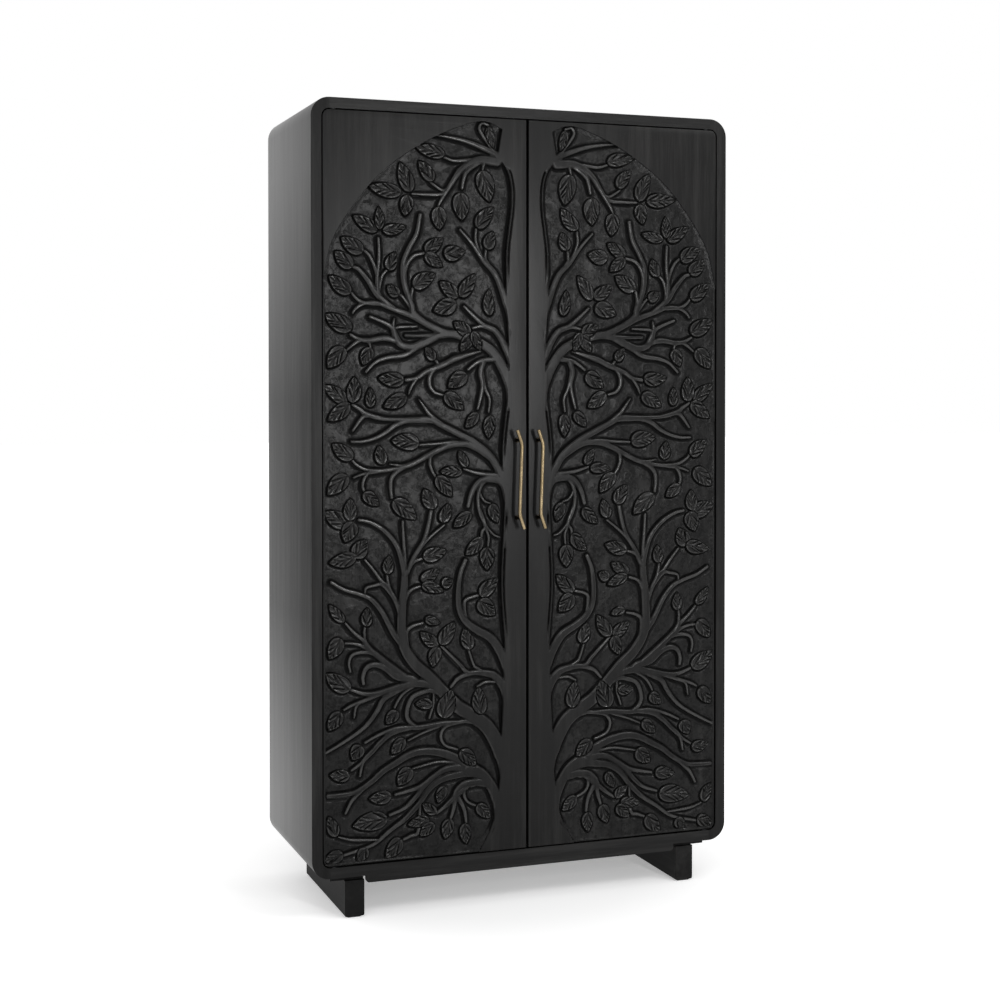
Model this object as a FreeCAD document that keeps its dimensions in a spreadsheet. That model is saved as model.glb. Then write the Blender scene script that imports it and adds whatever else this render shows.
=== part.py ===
"""Bar armoire: a rounded carcass on two plank legs, with two carved doors on pivot hinges.

Millimetres. +Z is up, the front faces -Y and X runs to the right, seen from the front.
The origin is on the floor, in the middle of the whole armoire, pulls included.
"""
import FreeCAD
import Part
import Sketcher
import math
import os

doc = FreeCAD.newDocument("bar_armoire")
sheet = doc.addObject("Spreadsheet::Sheet", "Sizes")

# Driving dimensions
SIZES = {
    # carcass
    "carcass_width": 1064, "carcass_depth": 444, "carcass_height": 1805,
    "board": 25, "corner_radius": 44,
    "spline_thickness": 6, "spline_width": 20, "spline_stop": 30, "spline_clearance": 0.1,
    "rebate_width": 10, "back_thickness": 9, "back_clearance": 0.3,
    "back_screw_radius": 1.5, "back_screw_length": 22, "back_screw_head_radius": 3,
    "back_screw_head_depth": 2, "back_screw_margin": 60,
    # base
    "base_height": 100, "pad_thickness": 3, "pad_length": 60, "pad_margin": 4,
    "leg_thickness": 47, "leg_inset": 82, "leg_setback": 15, "leg_length": 373, "leg_round": 4,
    "leg_plate_thickness": 12.5, "leg_plate_reach": 33, "leg_plate_margin": 10,
    "leg_screw_radius": 2.5, "leg_screw_length": 30, "leg_screw_head_radius": 5, "leg_screw_head_depth": 3,
    "leg_screw_spacing": 140,
    "leg_bolt_radius": 4, "leg_bolt_length": 60, "leg_bolt_head_radius": 8, "leg_bolt_head_depth": 4,
    "leg_bolt_spacing": 220,
    "apron_height": 22, "apron_thickness": 10, "apron_setback": 17, "apron_gap": 5, "apron_round": 8,
    "apron_screw_radius": 1.75, "apron_screw_length": 38, "apron_screw_head_radius": 3.5,
    "apron_screw_head_depth": 2, "apron_screw_margin": 68,
    # inside fittings
    "counter_height": 960, "counter_thickness": 25, "fittings_setback": 52, "dado_depth": 6,
    "partition_thickness": 20, "partition_setback": 60,
    "shelf_thickness": 20, "shelf_clearance": 1, "upper_shelf_height": 1600, "lower_shelf_height": 540,
    "lower_shelf_depth": 330, "upper_shelf_depth": 300,
    "shelf_pin_radius": 2.5, "shelf_pin_length": 18, "shelf_pin_seat": 9, "shelf_pin_margin": 40,
    "rail_pitch": 92, "rail_length": 260, "rail_margin": 12, "rail_web": 14, "rail_web_height": 24,
    "rail_foot": 46, "rail_foot_height": 8,
    "rail_screw_radius": 1.75, "rail_screw_length": 44, "rail_screw_head_radius": 3.5,
    "rail_screw_head_depth": 2, "rail_screw_margin": 40,
    "cradle_height": 62, "cradle_thickness": 18, "cradle_floor_gap": 18, "cradle_head_gap": 12,
    "cradle_front_setback": 85, "cradle_spacing": 215, "neck_radius": 19, "bottle_radius": 41,
    "wall_rail_height": 80, "wall_rail_thickness": 18, "wall_hole_radius": 3, "wall_hole_spacing": 600,
    # doors
    "door_thickness": 28, "door_gap": 2.5, "meeting_gap": 6, "meeting_round": 1,
    "carving_depth": 6, "carving_rim": 8, "bough_width": 26,
    "leaf_length": 57, "leaf_width": 34, "leaf_drop": 2,
    # pivot hinges
    "pivot_inset": 26, "pivot_setback": 9, "pin_radius": 3.5, "pin_reach": 12, "pin_clearance": 0.05,
    "bush_radius": 5, "bush_floor": 2, "flange_radius": 8, "flange_clearance": 0.4,
    "hinge_plate_length": 60, "hinge_plate_width": 18, "hinge_plate_thickness": 3, "hinge_plate_margin": 14,
    "hinge_plate_setback": 4, "hinge_screw_radius": 1.75, "hinge_screw_length": 26,
    "hinge_screw_head_radius": 3, "hinge_screw_head_depth": 2, "hinge_screw_spacing": 18,
    # catches
    "catch_width": 44, "catch_depth": 16, "catch_height": 14, "catch_centre": 40, "catch_gap": 0.3,
    "catch_slot_width": 30, "catch_slot_height": 8, "catch_slot_depth": 10, "magnet_clearance": 0.1,
    "catch_screw_radius": 1.5, "catch_screw_length": 26, "catch_screw_head_radius": 2.8,
    "catch_screw_head_depth": 1.5, "catch_screw_setback": 13,
    "strike_thickness": 1.5, "strike_width": 38, "strike_height": 14,
    "strike_screw_radius": 1.25, "strike_screw_length": 14, "strike_screw_head_radius": 2.4,
    "strike_screw_head_depth": 1.2, "strike_screw_spacing": 26,
    # pulls
    "pull_height": 1018, "pull_edge": 24, "pull_rod_radius": 4.4, "pull_standoff": 26.35,
    "pull_half_run": 84, "pull_lean": 3, "pull_tip_rise": 34, "pull_tip_sweep": 12, "pull_bend": 9,
    "pull_post_radius": 3.5, "pull_post_outset": 9, "pull_collar_radius": 6, "pull_collar_thickness": 2,
    "pull_screw_radius": 2, "pull_screw_length": 40, "pull_screw_head_radius": 4,
    "pull_screw_head_height": 2.6,
    # cuts run past the faces they open by this much
    "overrun": 5,
}
RAIL_COUNT = 6
CRADLE_TIERS = 4
BOTTLES_PER_TIER = 5

for row, (alias, value) in enumerate(SIZES.items(), start=1):
    sheet.set(f"A{row}", alias)
    sheet.set(f"B{row}", str(value))
    sheet.setAlias(f"B{row}", alias)
doc.recompute()


class Size:
    """A length as the text of an expression on the sheet, so that sums stay bound to the cells."""

    def __init__(self, text):
        self.text = str(text)

    def __add__(self, other):
        return Size(f"({self.text} + {expression(other)})")

    def __radd__(self, other):
        return Size(f"({expression(other)} + {self.text})")

    def __sub__(self, other):
        return Size(f"({self.text} - {expression(other)})")

    def __rsub__(self, other):
        return Size(f"({expression(other)} - {self.text})")

    def __mul__(self, other):
        return Size(f"({self.text} * {expression(other)})")

    __rmul__ = __mul__

    def __truediv__(self, other):
        return Size(f"({self.text} / {expression(other)})")

    def __neg__(self):
        return Size(f"(0 - {self.text})")

    def root(self):
        return Size(f"sqrt({self.text})")

    @property
    def mm(self):
        return float(sheet.evalExpression(self.text))


def expression(value):
    return value.text if isinstance(value, Size) else str(value)


def mm(value):
    return value.mm if isinstance(value, Size) else float(value)


class Sheet:
    def __getattr__(self, alias):
        return Size(f"Sizes.{alias}")


S = Sheet()
nodes = []


def node(piece, label):
    """Give a finished piece its name and put it on the list of pieces to write."""
    piece.Label = label
    nodes.append(piece)
    return piece


def bind(piece, **sizes):
    for name, size in sizes.items():
        piece.setExpression(name, expression(size))


def place(piece, x, y, z):
    for axis, where in zip("xyz", (x, y, z)):
        piece.setExpression(f"Placement.Base.{axis}", expression(where))


# Turns that point a cylinder's length along each direction
ALONG = {
    "+x": FreeCAD.Rotation(FreeCAD.Vector(0, 1, 0), 90),
    "-x": FreeCAD.Rotation(FreeCAD.Vector(0, 1, 0), -90),
    "+y": FreeCAD.Rotation(FreeCAD.Vector(1, 0, 0), -90),
    "-y": FreeCAD.Rotation(FreeCAD.Vector(1, 0, 0), 90),
    "+z": FreeCAD.Rotation(),
    "-z": FreeCAD.Rotation(FreeCAD.Vector(1, 0, 0), 180),
}


def block(centre_x, front, low, width, depth, height):
    """A rectangular board, placed by the middle of its width, its front face and its underside."""
    piece = doc.addObject("Part::Box", "block")
    bind(piece, Length=width, Width=depth, Height=height)
    place(piece, centre_x - width / 2, front, low)
    return piece


def rod(x, y, z, radius, length, along):
    piece = doc.addObject("Part::Cylinder", "rod")
    piece.Placement.Rotation = ALONG[along]
    bind(piece, Radius=radius, Height=length)
    place(piece, x, y, z)
    return piece


def taper(x, y, z, radius, end_radius, length, along):
    piece = doc.addObject("Part::Cone", "taper")
    piece.Placement.Rotation = ALONG[along]
    bind(piece, Radius1=radius, Radius2=end_radius, Height=length)
    place(piece, x, y, z)
    return piece


def fuse(pieces):
    piece = doc.addObject("Part::MultiFuse", "joined")
    piece.Shapes = pieces
    return piece


def group(pieces):
    piece = doc.addObject("Part::Compound", "group")
    piece.Links = pieces
    return piece


def cut(base, tools):
    piece = doc.addObject("Part::Cut", "cut")
    piece.Base = base
    piece.Tool = tools[0] if len(tools) == 1 else group(tools)
    return piece


def screw(x, y, z, along, kind):
    """A countersunk screw: its head lies flush at the given point and its shank runs along the way."""
    radius = getattr(S, f"{kind}_radius")
    head_radius = getattr(S, f"{kind}_head_radius")
    shank = rod(x, y, z, radius, getattr(S, f"{kind}_length"), along)
    head = taper(x, y, z, head_radius, radius, getattr(S, f"{kind}_head_depth"), along)
    return fuse([shank, head])


def outline(body, plane, steps, offset=None, closed=True):
    """Draw a profile in one of the body's own planes.

    Each step is a corner (across, up) and, where the way to the next corner is an arc, that
    arc's centre and radius. Every corner and radius stays bound to the sheet.
    """
    planes = {feature.Role: feature for feature in body.Origin.OriginFeatures}
    sketch = body.newObject("Sketcher::SketchObject", "outline")
    sketch.AttachmentSupport = (planes[plane], "")
    sketch.MapMode = "FlatFace"
    if offset is not None:
        sketch.setExpression("AttachmentOffset.Base.z", expression(offset))
    corners = [FreeCAD.Vector(mm(step[0]), mm(step[1]), 0) for step in steps]
    count = len(steps) if closed else len(steps) - 1
    ends = []
    for index in range(count):
        start, end = corners[index], corners[(index + 1) % len(steps)]
        arc = steps[index][2] if len(steps[index]) > 2 else None
        if arc is None:
            sketch.addGeometry(Part.LineSegment(start, end))
            ends.append((1, 2))
            continue
        centre = FreeCAD.Vector(mm(arc[0]), mm(arc[1]), 0)
        from_angle = math.atan2(start.y - centre.y, start.x - centre.x)
        to_angle = math.atan2(end.y - centre.y, end.x - centre.x)
        turn = (to_angle - from_angle) % (2 * math.pi)
        forward = turn < math.pi
        if not forward:
            from_angle, to_angle = to_angle, from_angle
        circle = Part.Circle(centre, FreeCAD.Vector(0, 0, 1), mm(arc[2]))
        sketch.addGeometry(Part.ArcOfCircle(circle, from_angle, to_angle))
        ends.append((1, 2) if forward else (2, 1))
    for index in range(count):
        following = (index + 1) % count
        if closed or following:
            link = Sketcher.Constraint("Coincident", index, ends[index][1], following, ends[following][0])
            sketch.addConstraint(link)
    for index, step in enumerate(steps):
        edge, end = (index, ends[index][0]) if index < count else (index - 1, ends[index - 1][1])
        for kind, size in (("DistanceX", step[0]), ("DistanceY", step[1])):
            number = sketch.addConstraint(Sketcher.Constraint(kind, -1, 1, edge, end, mm(size)))
            sketch.setExpression(f"Constraints[{number}]", expression(size))
        if len(step) > 2 and step[2] is not None:
            number = sketch.addConstraint(Sketcher.Constraint("Radius", index, mm(step[2][2])))
            sketch.setExpression(f"Constraints[{number}]", expression(step[2][2]))
    return sketch


def circle(body, plane, x, y, radius, offset=None):
    planes = {feature.Role: feature for feature in body.Origin.OriginFeatures}
    sketch = body.newObject("Sketcher::SketchObject", "circle")
    sketch.AttachmentSupport = (planes[plane], "")
    sketch.MapMode = "FlatFace"
    if offset is not None:
        sketch.setExpression("AttachmentOffset.Base.z", expression(offset))
    middle = FreeCAD.Vector(mm(x), mm(y), 0)
    sketch.addGeometry(Part.Circle(middle, FreeCAD.Vector(0, 0, 1), mm(radius)))
    for kind, size in (("DistanceX", x), ("DistanceY", y)):
        number = sketch.addConstraint(Sketcher.Constraint(kind, -1, 1, 0, 3, mm(size)))
        sketch.setExpression(f"Constraints[{number}]", expression(size))
    number = sketch.addConstraint(Sketcher.Constraint("Radius", 0, mm(radius)))
    sketch.setExpression(f"Constraints[{number}]", expression(radius))
    return sketch


def pad(body, sketch, length, backwards=False):
    feature = body.newObject("PartDesign::Pad", "pad")
    feature.Profile = sketch
    feature.Reversed = backwards
    bind(feature, Length=length)
    return feature


def rounded_corners(low_x, low_z, high_x, high_z, low_left, low_right, high_right, high_left):
    """The steps of a rectangle whose corners have the given radii, or None for a square corner."""
    steps = []
    corners = (
        (low_x, low_z, 1, 1, low_left, False), (high_x, low_z, -1, 1, low_right, True),
        (high_x, high_z, -1, -1, high_right, False), (low_x, high_z, 1, -1, high_left, True),
    )
    for x, z, way_x, way_z, radius, along_x_first in corners:
        if radius is None:
            steps.append((x, z))
            continue
        centre = (x + radius * way_x, z + radius * way_z, radius)
        beside = (x + radius * way_x, z)
        above = (x, z + radius * way_z)
        first, second = (beside, above) if along_x_first else (above, beside)
        steps.append((*first, centre))
        steps.append(second)
    return steps


# Planes and spans that the pieces share
front = (S.pull_standoff + S.pull_rod_radius - S.carcass_depth) / 2
back = front + S.carcass_depth
low = S.base_height
high = S.base_height + S.carcass_height
inside_low = low + S.board
inside_high = high - S.board
inside_width = S.carcass_width - S.board * 2
inside_half = inside_width / 2
straight_width = S.carcass_width - S.corner_radius * 2
straight_height = S.carcass_height - S.corner_radius * 2
inner_radius = S.corner_radius - S.board
back_face = back - S.back_thickness
counter_low = S.counter_height - S.counter_thickness
partition_front = front + S.partition_setback
fittings_front = front + S.fittings_setback
door_width = (inside_width - S.door_gap * 2 - S.meeting_gap) / 2
door_height = inside_high - inside_low - S.door_gap * 2
door_low = inside_low + S.door_gap
door_high = inside_high - S.door_gap
door_back = front + S.door_thickness
pivot_y = front + S.pivot_setback
SIDES = {"left": -1, "right": 1}


# Loose splines that hold the corner blocks to the panels
def splines(clearance):
    pieces = []
    length = S.carcass_depth - S.spline_stop * 2 + clearance * 2
    first = front + S.spline_stop - clearance
    thick = S.spline_thickness + clearance * 2
    wide = S.spline_width + clearance * 2
    for side in SIDES.values():
        for edge, way in ((low, 1), (high, -1)):
            board_middle = edge + S.board / 2 * way
            pieces.append(block(straight_width / 2 * side, first, board_middle - thick / 2,
                                wide, length, thick))
            seam = edge + S.corner_radius * way
            panel_middle = (S.carcass_width - S.board) / 2 * side
            pieces.append(block(panel_middle, first, seam - wide / 2, thick, length, wide))
    return pieces


spline_grooves = group(splines(S.spline_clearance))
node(group(splines(Size(0))), "corner_splines")


# Screws that hold the two back panels, down each side and across the top and bottom
def back_screws(panel_low, panel_high, cross_height):
    pieces = []
    reach = inside_half + S.rebate_width / 2
    for side in SIDES.values():
        for height in (panel_low + S.back_screw_margin, (panel_low + panel_high) / 2,
                       panel_high - S.back_screw_margin):
            pieces.append(screw(reach * side, back, height, "-y", "back_screw"))
        pieces.append(screw(inside_half / 2 * side, back, cross_height, "-y", "back_screw"))
    return pieces


lower_back_low = inside_low - S.rebate_width + S.back_clearance
upper_back_high = inside_high + S.rebate_width - S.back_clearance
back_split = counter_low + S.counter_thickness / 2
lower_screws = back_screws(inside_low, back_split, inside_low - S.rebate_width / 2)
upper_screws = back_screws(back_split, inside_high, inside_high + S.rebate_width / 2)
back_panel_screws = node(group(lower_screws + upper_screws), "back_panel_screws")

# Pieces of the base that are fixed up into the bottom panel
leg_centre = S.carcass_width / 2 - S.leg_inset - S.leg_thickness / 2
leg_front = front + S.leg_setback
leg_middle = leg_front + S.leg_length / 2
plate_low = low - S.leg_plate_thickness
plate_width = S.leg_thickness + S.leg_plate_reach
plate_centre = leg_centre + S.leg_plate_reach / 2
flange_centre = leg_centre + (S.leg_thickness + S.leg_plate_reach) / 2
plate_screws = [
    screw(flange_centre * side, leg_middle + S.leg_screw_spacing * step, plate_low, "+z", "leg_screw")
    for side in SIDES.values() for step in (-1, 0, 1)
]
leg_plate_screws = node(group(plate_screws), "leg_plate_screws")
bolts = [
    screw(leg_centre * side, leg_middle + S.leg_bolt_spacing / 2 * way, low, "-z", "leg_bolt")
    for side in SIDES.values() for way in (-1, 1)
]
leg_bolts = node(group(bolts), "leg_bolts")
apron_middle = front + S.apron_setback + S.apron_thickness / 2
apron_low = low - S.apron_height
apron_half = leg_centre - S.leg_thickness / 2 - S.apron_gap
apron_screw_reach = apron_half - S.apron_screw_margin
apron_screws = node(group([
    screw(apron_screw_reach * step, apron_middle, apron_low, "+z", "apron_screw") for step in (-1, 0, 1)
]), "apron_screws")

# Pivot bushes: flanged sleeves let into the bottom and top panels
bush_length = S.pin_reach + S.bush_floor
flange_thickness = S.door_gap - S.flange_clearance
pivot_x = inside_half - S.door_gap - S.pivot_inset
bushes = {}
bush_seats = []
for name, side in SIDES.items():
    sleeves = []
    for inner_face, way in ((inside_low, "-z"), (inside_high, "+z")):
        step = 1 if way == "-z" else -1
        flange_start = inner_face + flange_thickness * step
        sleeve = rod(pivot_x * side, pivot_y, inner_face, S.bush_radius, bush_length, way)
        flange = rod(pivot_x * side, pivot_y, flange_start, S.flange_radius, flange_thickness, way)
        bore = rod(pivot_x * side, pivot_y, flange_start, S.pin_radius + S.pin_clearance,
                   flange_thickness + S.pin_reach, way)
        sleeves.append(cut(fuse([sleeve, flange]), [bore]))
        bush_seats.append(rod(pivot_x * side, pivot_y, inner_face, S.bush_radius, bush_length, way))
    bushes[name] = node(group(sleeves), f"{name}_pivot_bushes")

# Magnetic catches, under the top panel behind the meeting edges
catch_front = door_back + S.strike_thickness + S.catch_gap
catch_low = inside_high - S.catch_height
catch_middle = inside_high - S.catch_height / 2
housings, magnets, catch_screw_list = [], [], []
for side in SIDES.values():
    x = S.catch_centre * side
    fixing = screw(x, catch_front + S.catch_screw_setback, catch_low, "+z", "catch_screw")
    slot = block(x, catch_front - S.overrun, catch_middle - S.catch_slot_height / 2,
                 S.catch_slot_width, S.overrun + S.catch_slot_depth, S.catch_slot_height)
    housing = block(x, catch_front, catch_low, S.catch_width, S.catch_depth, S.catch_height)
    housings.append(cut(housing, [slot, fixing]))
    magnet_height = S.catch_slot_height - S.magnet_clearance * 2
    magnets.append(block(x, catch_front, catch_middle - magnet_height / 2,
                         S.catch_slot_width - S.magnet_clearance * 2,
                         S.catch_slot_depth - S.magnet_clearance, magnet_height))
    catch_screw_list.append(fixing)
node(group(housings), "catch_housings")
node(group(magnets), "catch_magnets")
catch_screws = node(group(catch_screw_list), "catch_screws")

# Shelf pins: pegs in the panels, under the two loose shelves
upper_shelf_low = S.upper_shelf_height - S.shelf_thickness
lower_shelf_low = S.lower_shelf_height - S.shelf_thickness
shelf_back = back_face - S.shelf_clearance
upper_shelf_front = shelf_back - S.upper_shelf_depth
lower_shelf_front = shelf_back - S.lower_shelf_depth
pins = []
upper_pin_places = ((-inside_half - S.shelf_pin_seat, "+x"), (inside_half + S.shelf_pin_seat, "-x"))
lower_pin_places = ((S.partition_thickness / 2 - S.shelf_pin_seat, "+x"),
                    (inside_half + S.shelf_pin_seat, "-x"))
for places, underside, shelf_front in ((upper_pin_places, upper_shelf_low, upper_shelf_front),
                                       (lower_pin_places, lower_shelf_low, lower_shelf_front)):
    for x, along in places:
        for y in (shelf_front + S.shelf_pin_margin, shelf_back - S.shelf_pin_margin):
            pins.append(rod(x, y, underside - S.shelf_pin_radius, S.shelf_pin_radius,
                            S.shelf_pin_length, along))
shelf_pins = node(group(pins), "shelf_pins")

# Carcass panels, with the back rebate, the counter's dado and the seats of what is let into them
panel_depth = S.carcass_depth
for name, side in SIDES.items():
    panel = block((S.carcass_width - S.board) / 2 * side, front, low + S.corner_radius,
                  S.board, panel_depth, straight_height)
    rebate = block((inside_half + S.rebate_width / 2 - S.overrun / 2) * side, back_face,
                   low, S.rebate_width + S.overrun, S.back_thickness + S.overrun, S.carcass_height)
    dado = block((inside_half + S.dado_depth / 2 - S.overrun / 2) * side, fittings_front, counter_low,
                 S.dado_depth + S.overrun, back_face - fittings_front, S.counter_thickness)
    node(cut(panel, [rebate, dado, spline_grooves, back_panel_screws, shelf_pins]), f"{name}_side_panel")

top_board = block(Size(0), front, inside_high, straight_width, panel_depth, S.board)
top_rebate = block(Size(0), back_face, inside_high - S.overrun, S.carcass_width,
                   S.back_thickness + S.overrun, S.rebate_width + S.overrun)
node(cut(top_board, [top_rebate, spline_grooves, back_panel_screws, catch_screws] + bush_seats),
     "top_panel")

bottom_board = block(Size(0), front, low, straight_width, panel_depth, S.board)
bottom_rebate = block(Size(0), back_face, inside_low - S.rebate_width, S.carcass_width,
                      S.back_thickness + S.overrun, S.rebate_width + S.overrun)
partition_seat = block(Size(0), partition_front, inside_low - S.dado_depth, S.partition_thickness,
                       back_face - partition_front, S.dado_depth + S.overrun)
node(cut(bottom_board, [bottom_rebate, partition_seat, spline_grooves, back_panel_screws,
                        leg_plate_screws, apron_screws] + bush_seats), "bottom_panel")


def corner_ring(side, edge, way, inner):
    """A quarter ring about a corner's centre, from the carcass's outer radius to the inner one."""
    outer = S.corner_radius
    x, z = straight_width / 2 * side, edge + S.corner_radius * way
    return [(x, edge, (x, z, outer)), (x + outer * side, z), (x + inner * side, z, (x, z, inner)),
            (x, z - inner * way)]


# Corner blocks: quarter rings that run from front to back, thinner behind at the rebate
for name, side in SIDES.items():
    for level, edge, way in (("top", high, -1), ("bottom", low, 1)):
        body = doc.addObject("PartDesign::Body", "corner")
        whole = outline(body, "XZ_Plane", corner_ring(side, edge, way, inner_radius), -front)
        pad(body, whole, S.carcass_depth - S.back_thickness, backwards=True)
        rebated = corner_ring(side, edge, way, inner_radius + S.rebate_width)
        pad(body, outline(body, "XZ_Plane", rebated, -back_face), S.back_thickness, backwards=True)
        node(cut(body, [spline_grooves]), f"{level}_{name}_corner")

# Back panels, rounded at the outer corners, with the two wall-fixing holes near the top
wall_rail_low = inside_high - S.wall_rail_height
wall_hole_height = inside_high - S.wall_rail_height / 2
wall_holes = [
    rod(S.wall_hole_spacing / 2 * side, back_face - S.wall_rail_thickness - S.overrun, wall_hole_height,
        S.wall_hole_radius, S.wall_rail_thickness + S.back_thickness + S.overrun * 2, "+y")
    for side in SIDES.values()
]
back_half = inside_half + S.rebate_width - S.back_clearance
back_round = inner_radius + S.rebate_width - S.back_clearance
lower_back = doc.addObject("PartDesign::Body", "lower_back")
lower_steps = rounded_corners(-back_half, lower_back_low, back_half, back_split,
                              back_round, back_round, None, None)
pad(lower_back, outline(lower_back, "XZ_Plane", lower_steps, -back_face), S.back_thickness, backwards=True)
node(cut(lower_back, [back_panel_screws]), "lower_back_panel")
upper_back = doc.addObject("PartDesign::Body", "upper_back")
upper_steps = rounded_corners(-back_half, back_split, back_half, upper_back_high,
                              None, None, back_round, back_round)
pad(upper_back, outline(upper_back, "XZ_Plane", upper_steps, -back_face), S.back_thickness, backwards=True)
node(cut(upper_back, [back_panel_screws] + wall_holes), "upper_back_panel")

wall_rail = block(Size(0), back_face - S.wall_rail_thickness, wall_rail_low,
                  inside_width - inner_radius * 2, S.wall_rail_thickness, S.wall_rail_height)
node(cut(wall_rail, wall_holes), "wall_fixing_rail")

# Serving counter, lower partition and the two loose shelves
counter = block(Size(0), fittings_front, counter_low, inside_width + S.dado_depth * 2,
                back_face - fittings_front, S.counter_thickness)
partition_groove = block(Size(0), partition_front, counter_low - S.overrun, S.partition_thickness,
                         back_face - partition_front, S.dado_depth + S.overrun)
node(cut(counter, [partition_groove]), "serving_counter")
partition = block(Size(0), partition_front, inside_low - S.dado_depth, S.partition_thickness,
                  back_face - partition_front, counter_low - inside_low + S.dado_depth * 2)
node(cut(partition, [shelf_pins]), "lower_partition")

rail_top = upper_shelf_low
rail_low = rail_top - S.rail_web_height - S.rail_foot_height
rail_front = upper_shelf_front + S.rail_margin
rail_places = [S.rail_pitch * (number - (RAIL_COUNT - 1) / 2) for number in range(RAIL_COUNT)]
rail_screws = node(group([
    screw(x, y, rail_low, "+z", "rail_screw") for x in rail_places
    for y in (rail_front + S.rail_screw_margin, rail_front + S.rail_length - S.rail_screw_margin)
]), "stemware_rail_screws")
upper_shelf = block(Size(0), upper_shelf_front, upper_shelf_low, inside_width - S.shelf_clearance * 2,
                    S.upper_shelf_depth, S.shelf_thickness)
node(cut(upper_shelf, [rail_screws]), "upper_shelf")
bay_width = inside_half - S.partition_thickness / 2
bay_centre = S.partition_thickness / 2 + bay_width / 2
node(block(bay_centre, lower_shelf_front, lower_shelf_low, bay_width - S.shelf_clearance * 2,
           S.lower_shelf_depth, S.shelf_thickness), "lower_shelf")

# Stemware rails: T sections hung under the upper shelf
rails = []
for x in rail_places:
    body = doc.addObject("PartDesign::Body", "rail")
    web, foot = S.rail_web / 2, S.rail_foot / 2
    foot_top = rail_low + S.rail_foot_height
    steps = [(x - foot, rail_low), (x + foot, rail_low), (x + foot, foot_top), (x + web, foot_top),
             (x + web, rail_top), (x - web, rail_top), (x - web, foot_top), (x - foot, foot_top)]
    pad(body, outline(body, "XZ_Plane", steps, -rail_front), S.rail_length, backwards=True)
    rails.append(body)
node(cut(group(rails), [rail_screws]), "stemware_rails")

# Bottle cradles: scalloped rails across the left bay, necks in front and bodies behind
bottle_pitch = bay_width / BOTTLES_PER_TIER
tier_room = counter_low - inside_low - S.cradle_floor_gap - S.cradle_head_gap
tier_pitch = tier_room / CRADLE_TIERS
cradle_rear_setback = S.cradle_front_setback + S.cradle_spacing
for name, radius, setback in (("neck_cradles", S.neck_radius, S.cradle_front_setback),
                              ("bottle_cradles", S.bottle_radius, cradle_rear_setback)):
    cradles = []
    for tier in range(CRADLE_TIERS):
        cradle_low = inside_low + S.cradle_floor_gap + tier_pitch * tier
        rail = block(-bay_centre, front + setback, cradle_low, bay_width, S.cradle_thickness,
                     S.cradle_height)
        scallops = [
            rod(-inside_half + bottle_pitch * (number + 0.5), front + setback - S.overrun,
                cradle_low + S.cradle_height, radius, S.cradle_thickness + S.overrun * 2, "+y")
            for number in range(BOTTLES_PER_TIER)
        ]
        cradles.append(cut(rail, scallops))
    node(group(cradles), name)

# Legs, their plates, the apron and the felt pads
pads = []
for name, side in SIDES.items():
    leg = doc.addObject("PartDesign::Body", "leg")
    left = leg_centre * side - S.leg_thickness / 2
    steps = rounded_corners(left, S.pad_thickness, left + S.leg_thickness, plate_low,
                            S.leg_round, S.leg_round, None, None)
    pad(leg, outline(leg, "XZ_Plane", steps, -leg_front), S.leg_length, backwards=True)
    node(cut(leg, [leg_bolts]), f"{name}_leg")
    plate = block(plate_centre * side, leg_front + S.leg_plate_margin, plate_low, plate_width,
                  S.leg_length - S.leg_plate_margin * 2, S.leg_plate_thickness)
    node(cut(plate, [leg_plate_screws, leg_bolts]), f"{name}_leg_plate")
    pad_width = S.leg_thickness - (S.leg_round + S.pad_margin) * 2
    for pad_front in (leg_front + S.pad_margin, leg_front + S.leg_length - S.pad_margin - S.pad_length):
        pads.append(block(leg_centre * side, pad_front, Size(0), pad_width, S.pad_length, S.pad_thickness))
node(group(pads), "foot_pads")

apron = doc.addObject("PartDesign::Body", "apron")
apron_steps = rounded_corners(-apron_half, apron_low, apron_half, low,
                              S.apron_round, S.apron_round, None, None)
apron_outline = outline(apron, "XZ_Plane", apron_steps, -(front + S.apron_setback))
pad(apron, apron_outline, S.apron_thickness, backwards=True)
node(cut(apron, [apron_screws]), "front_apron")

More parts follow.
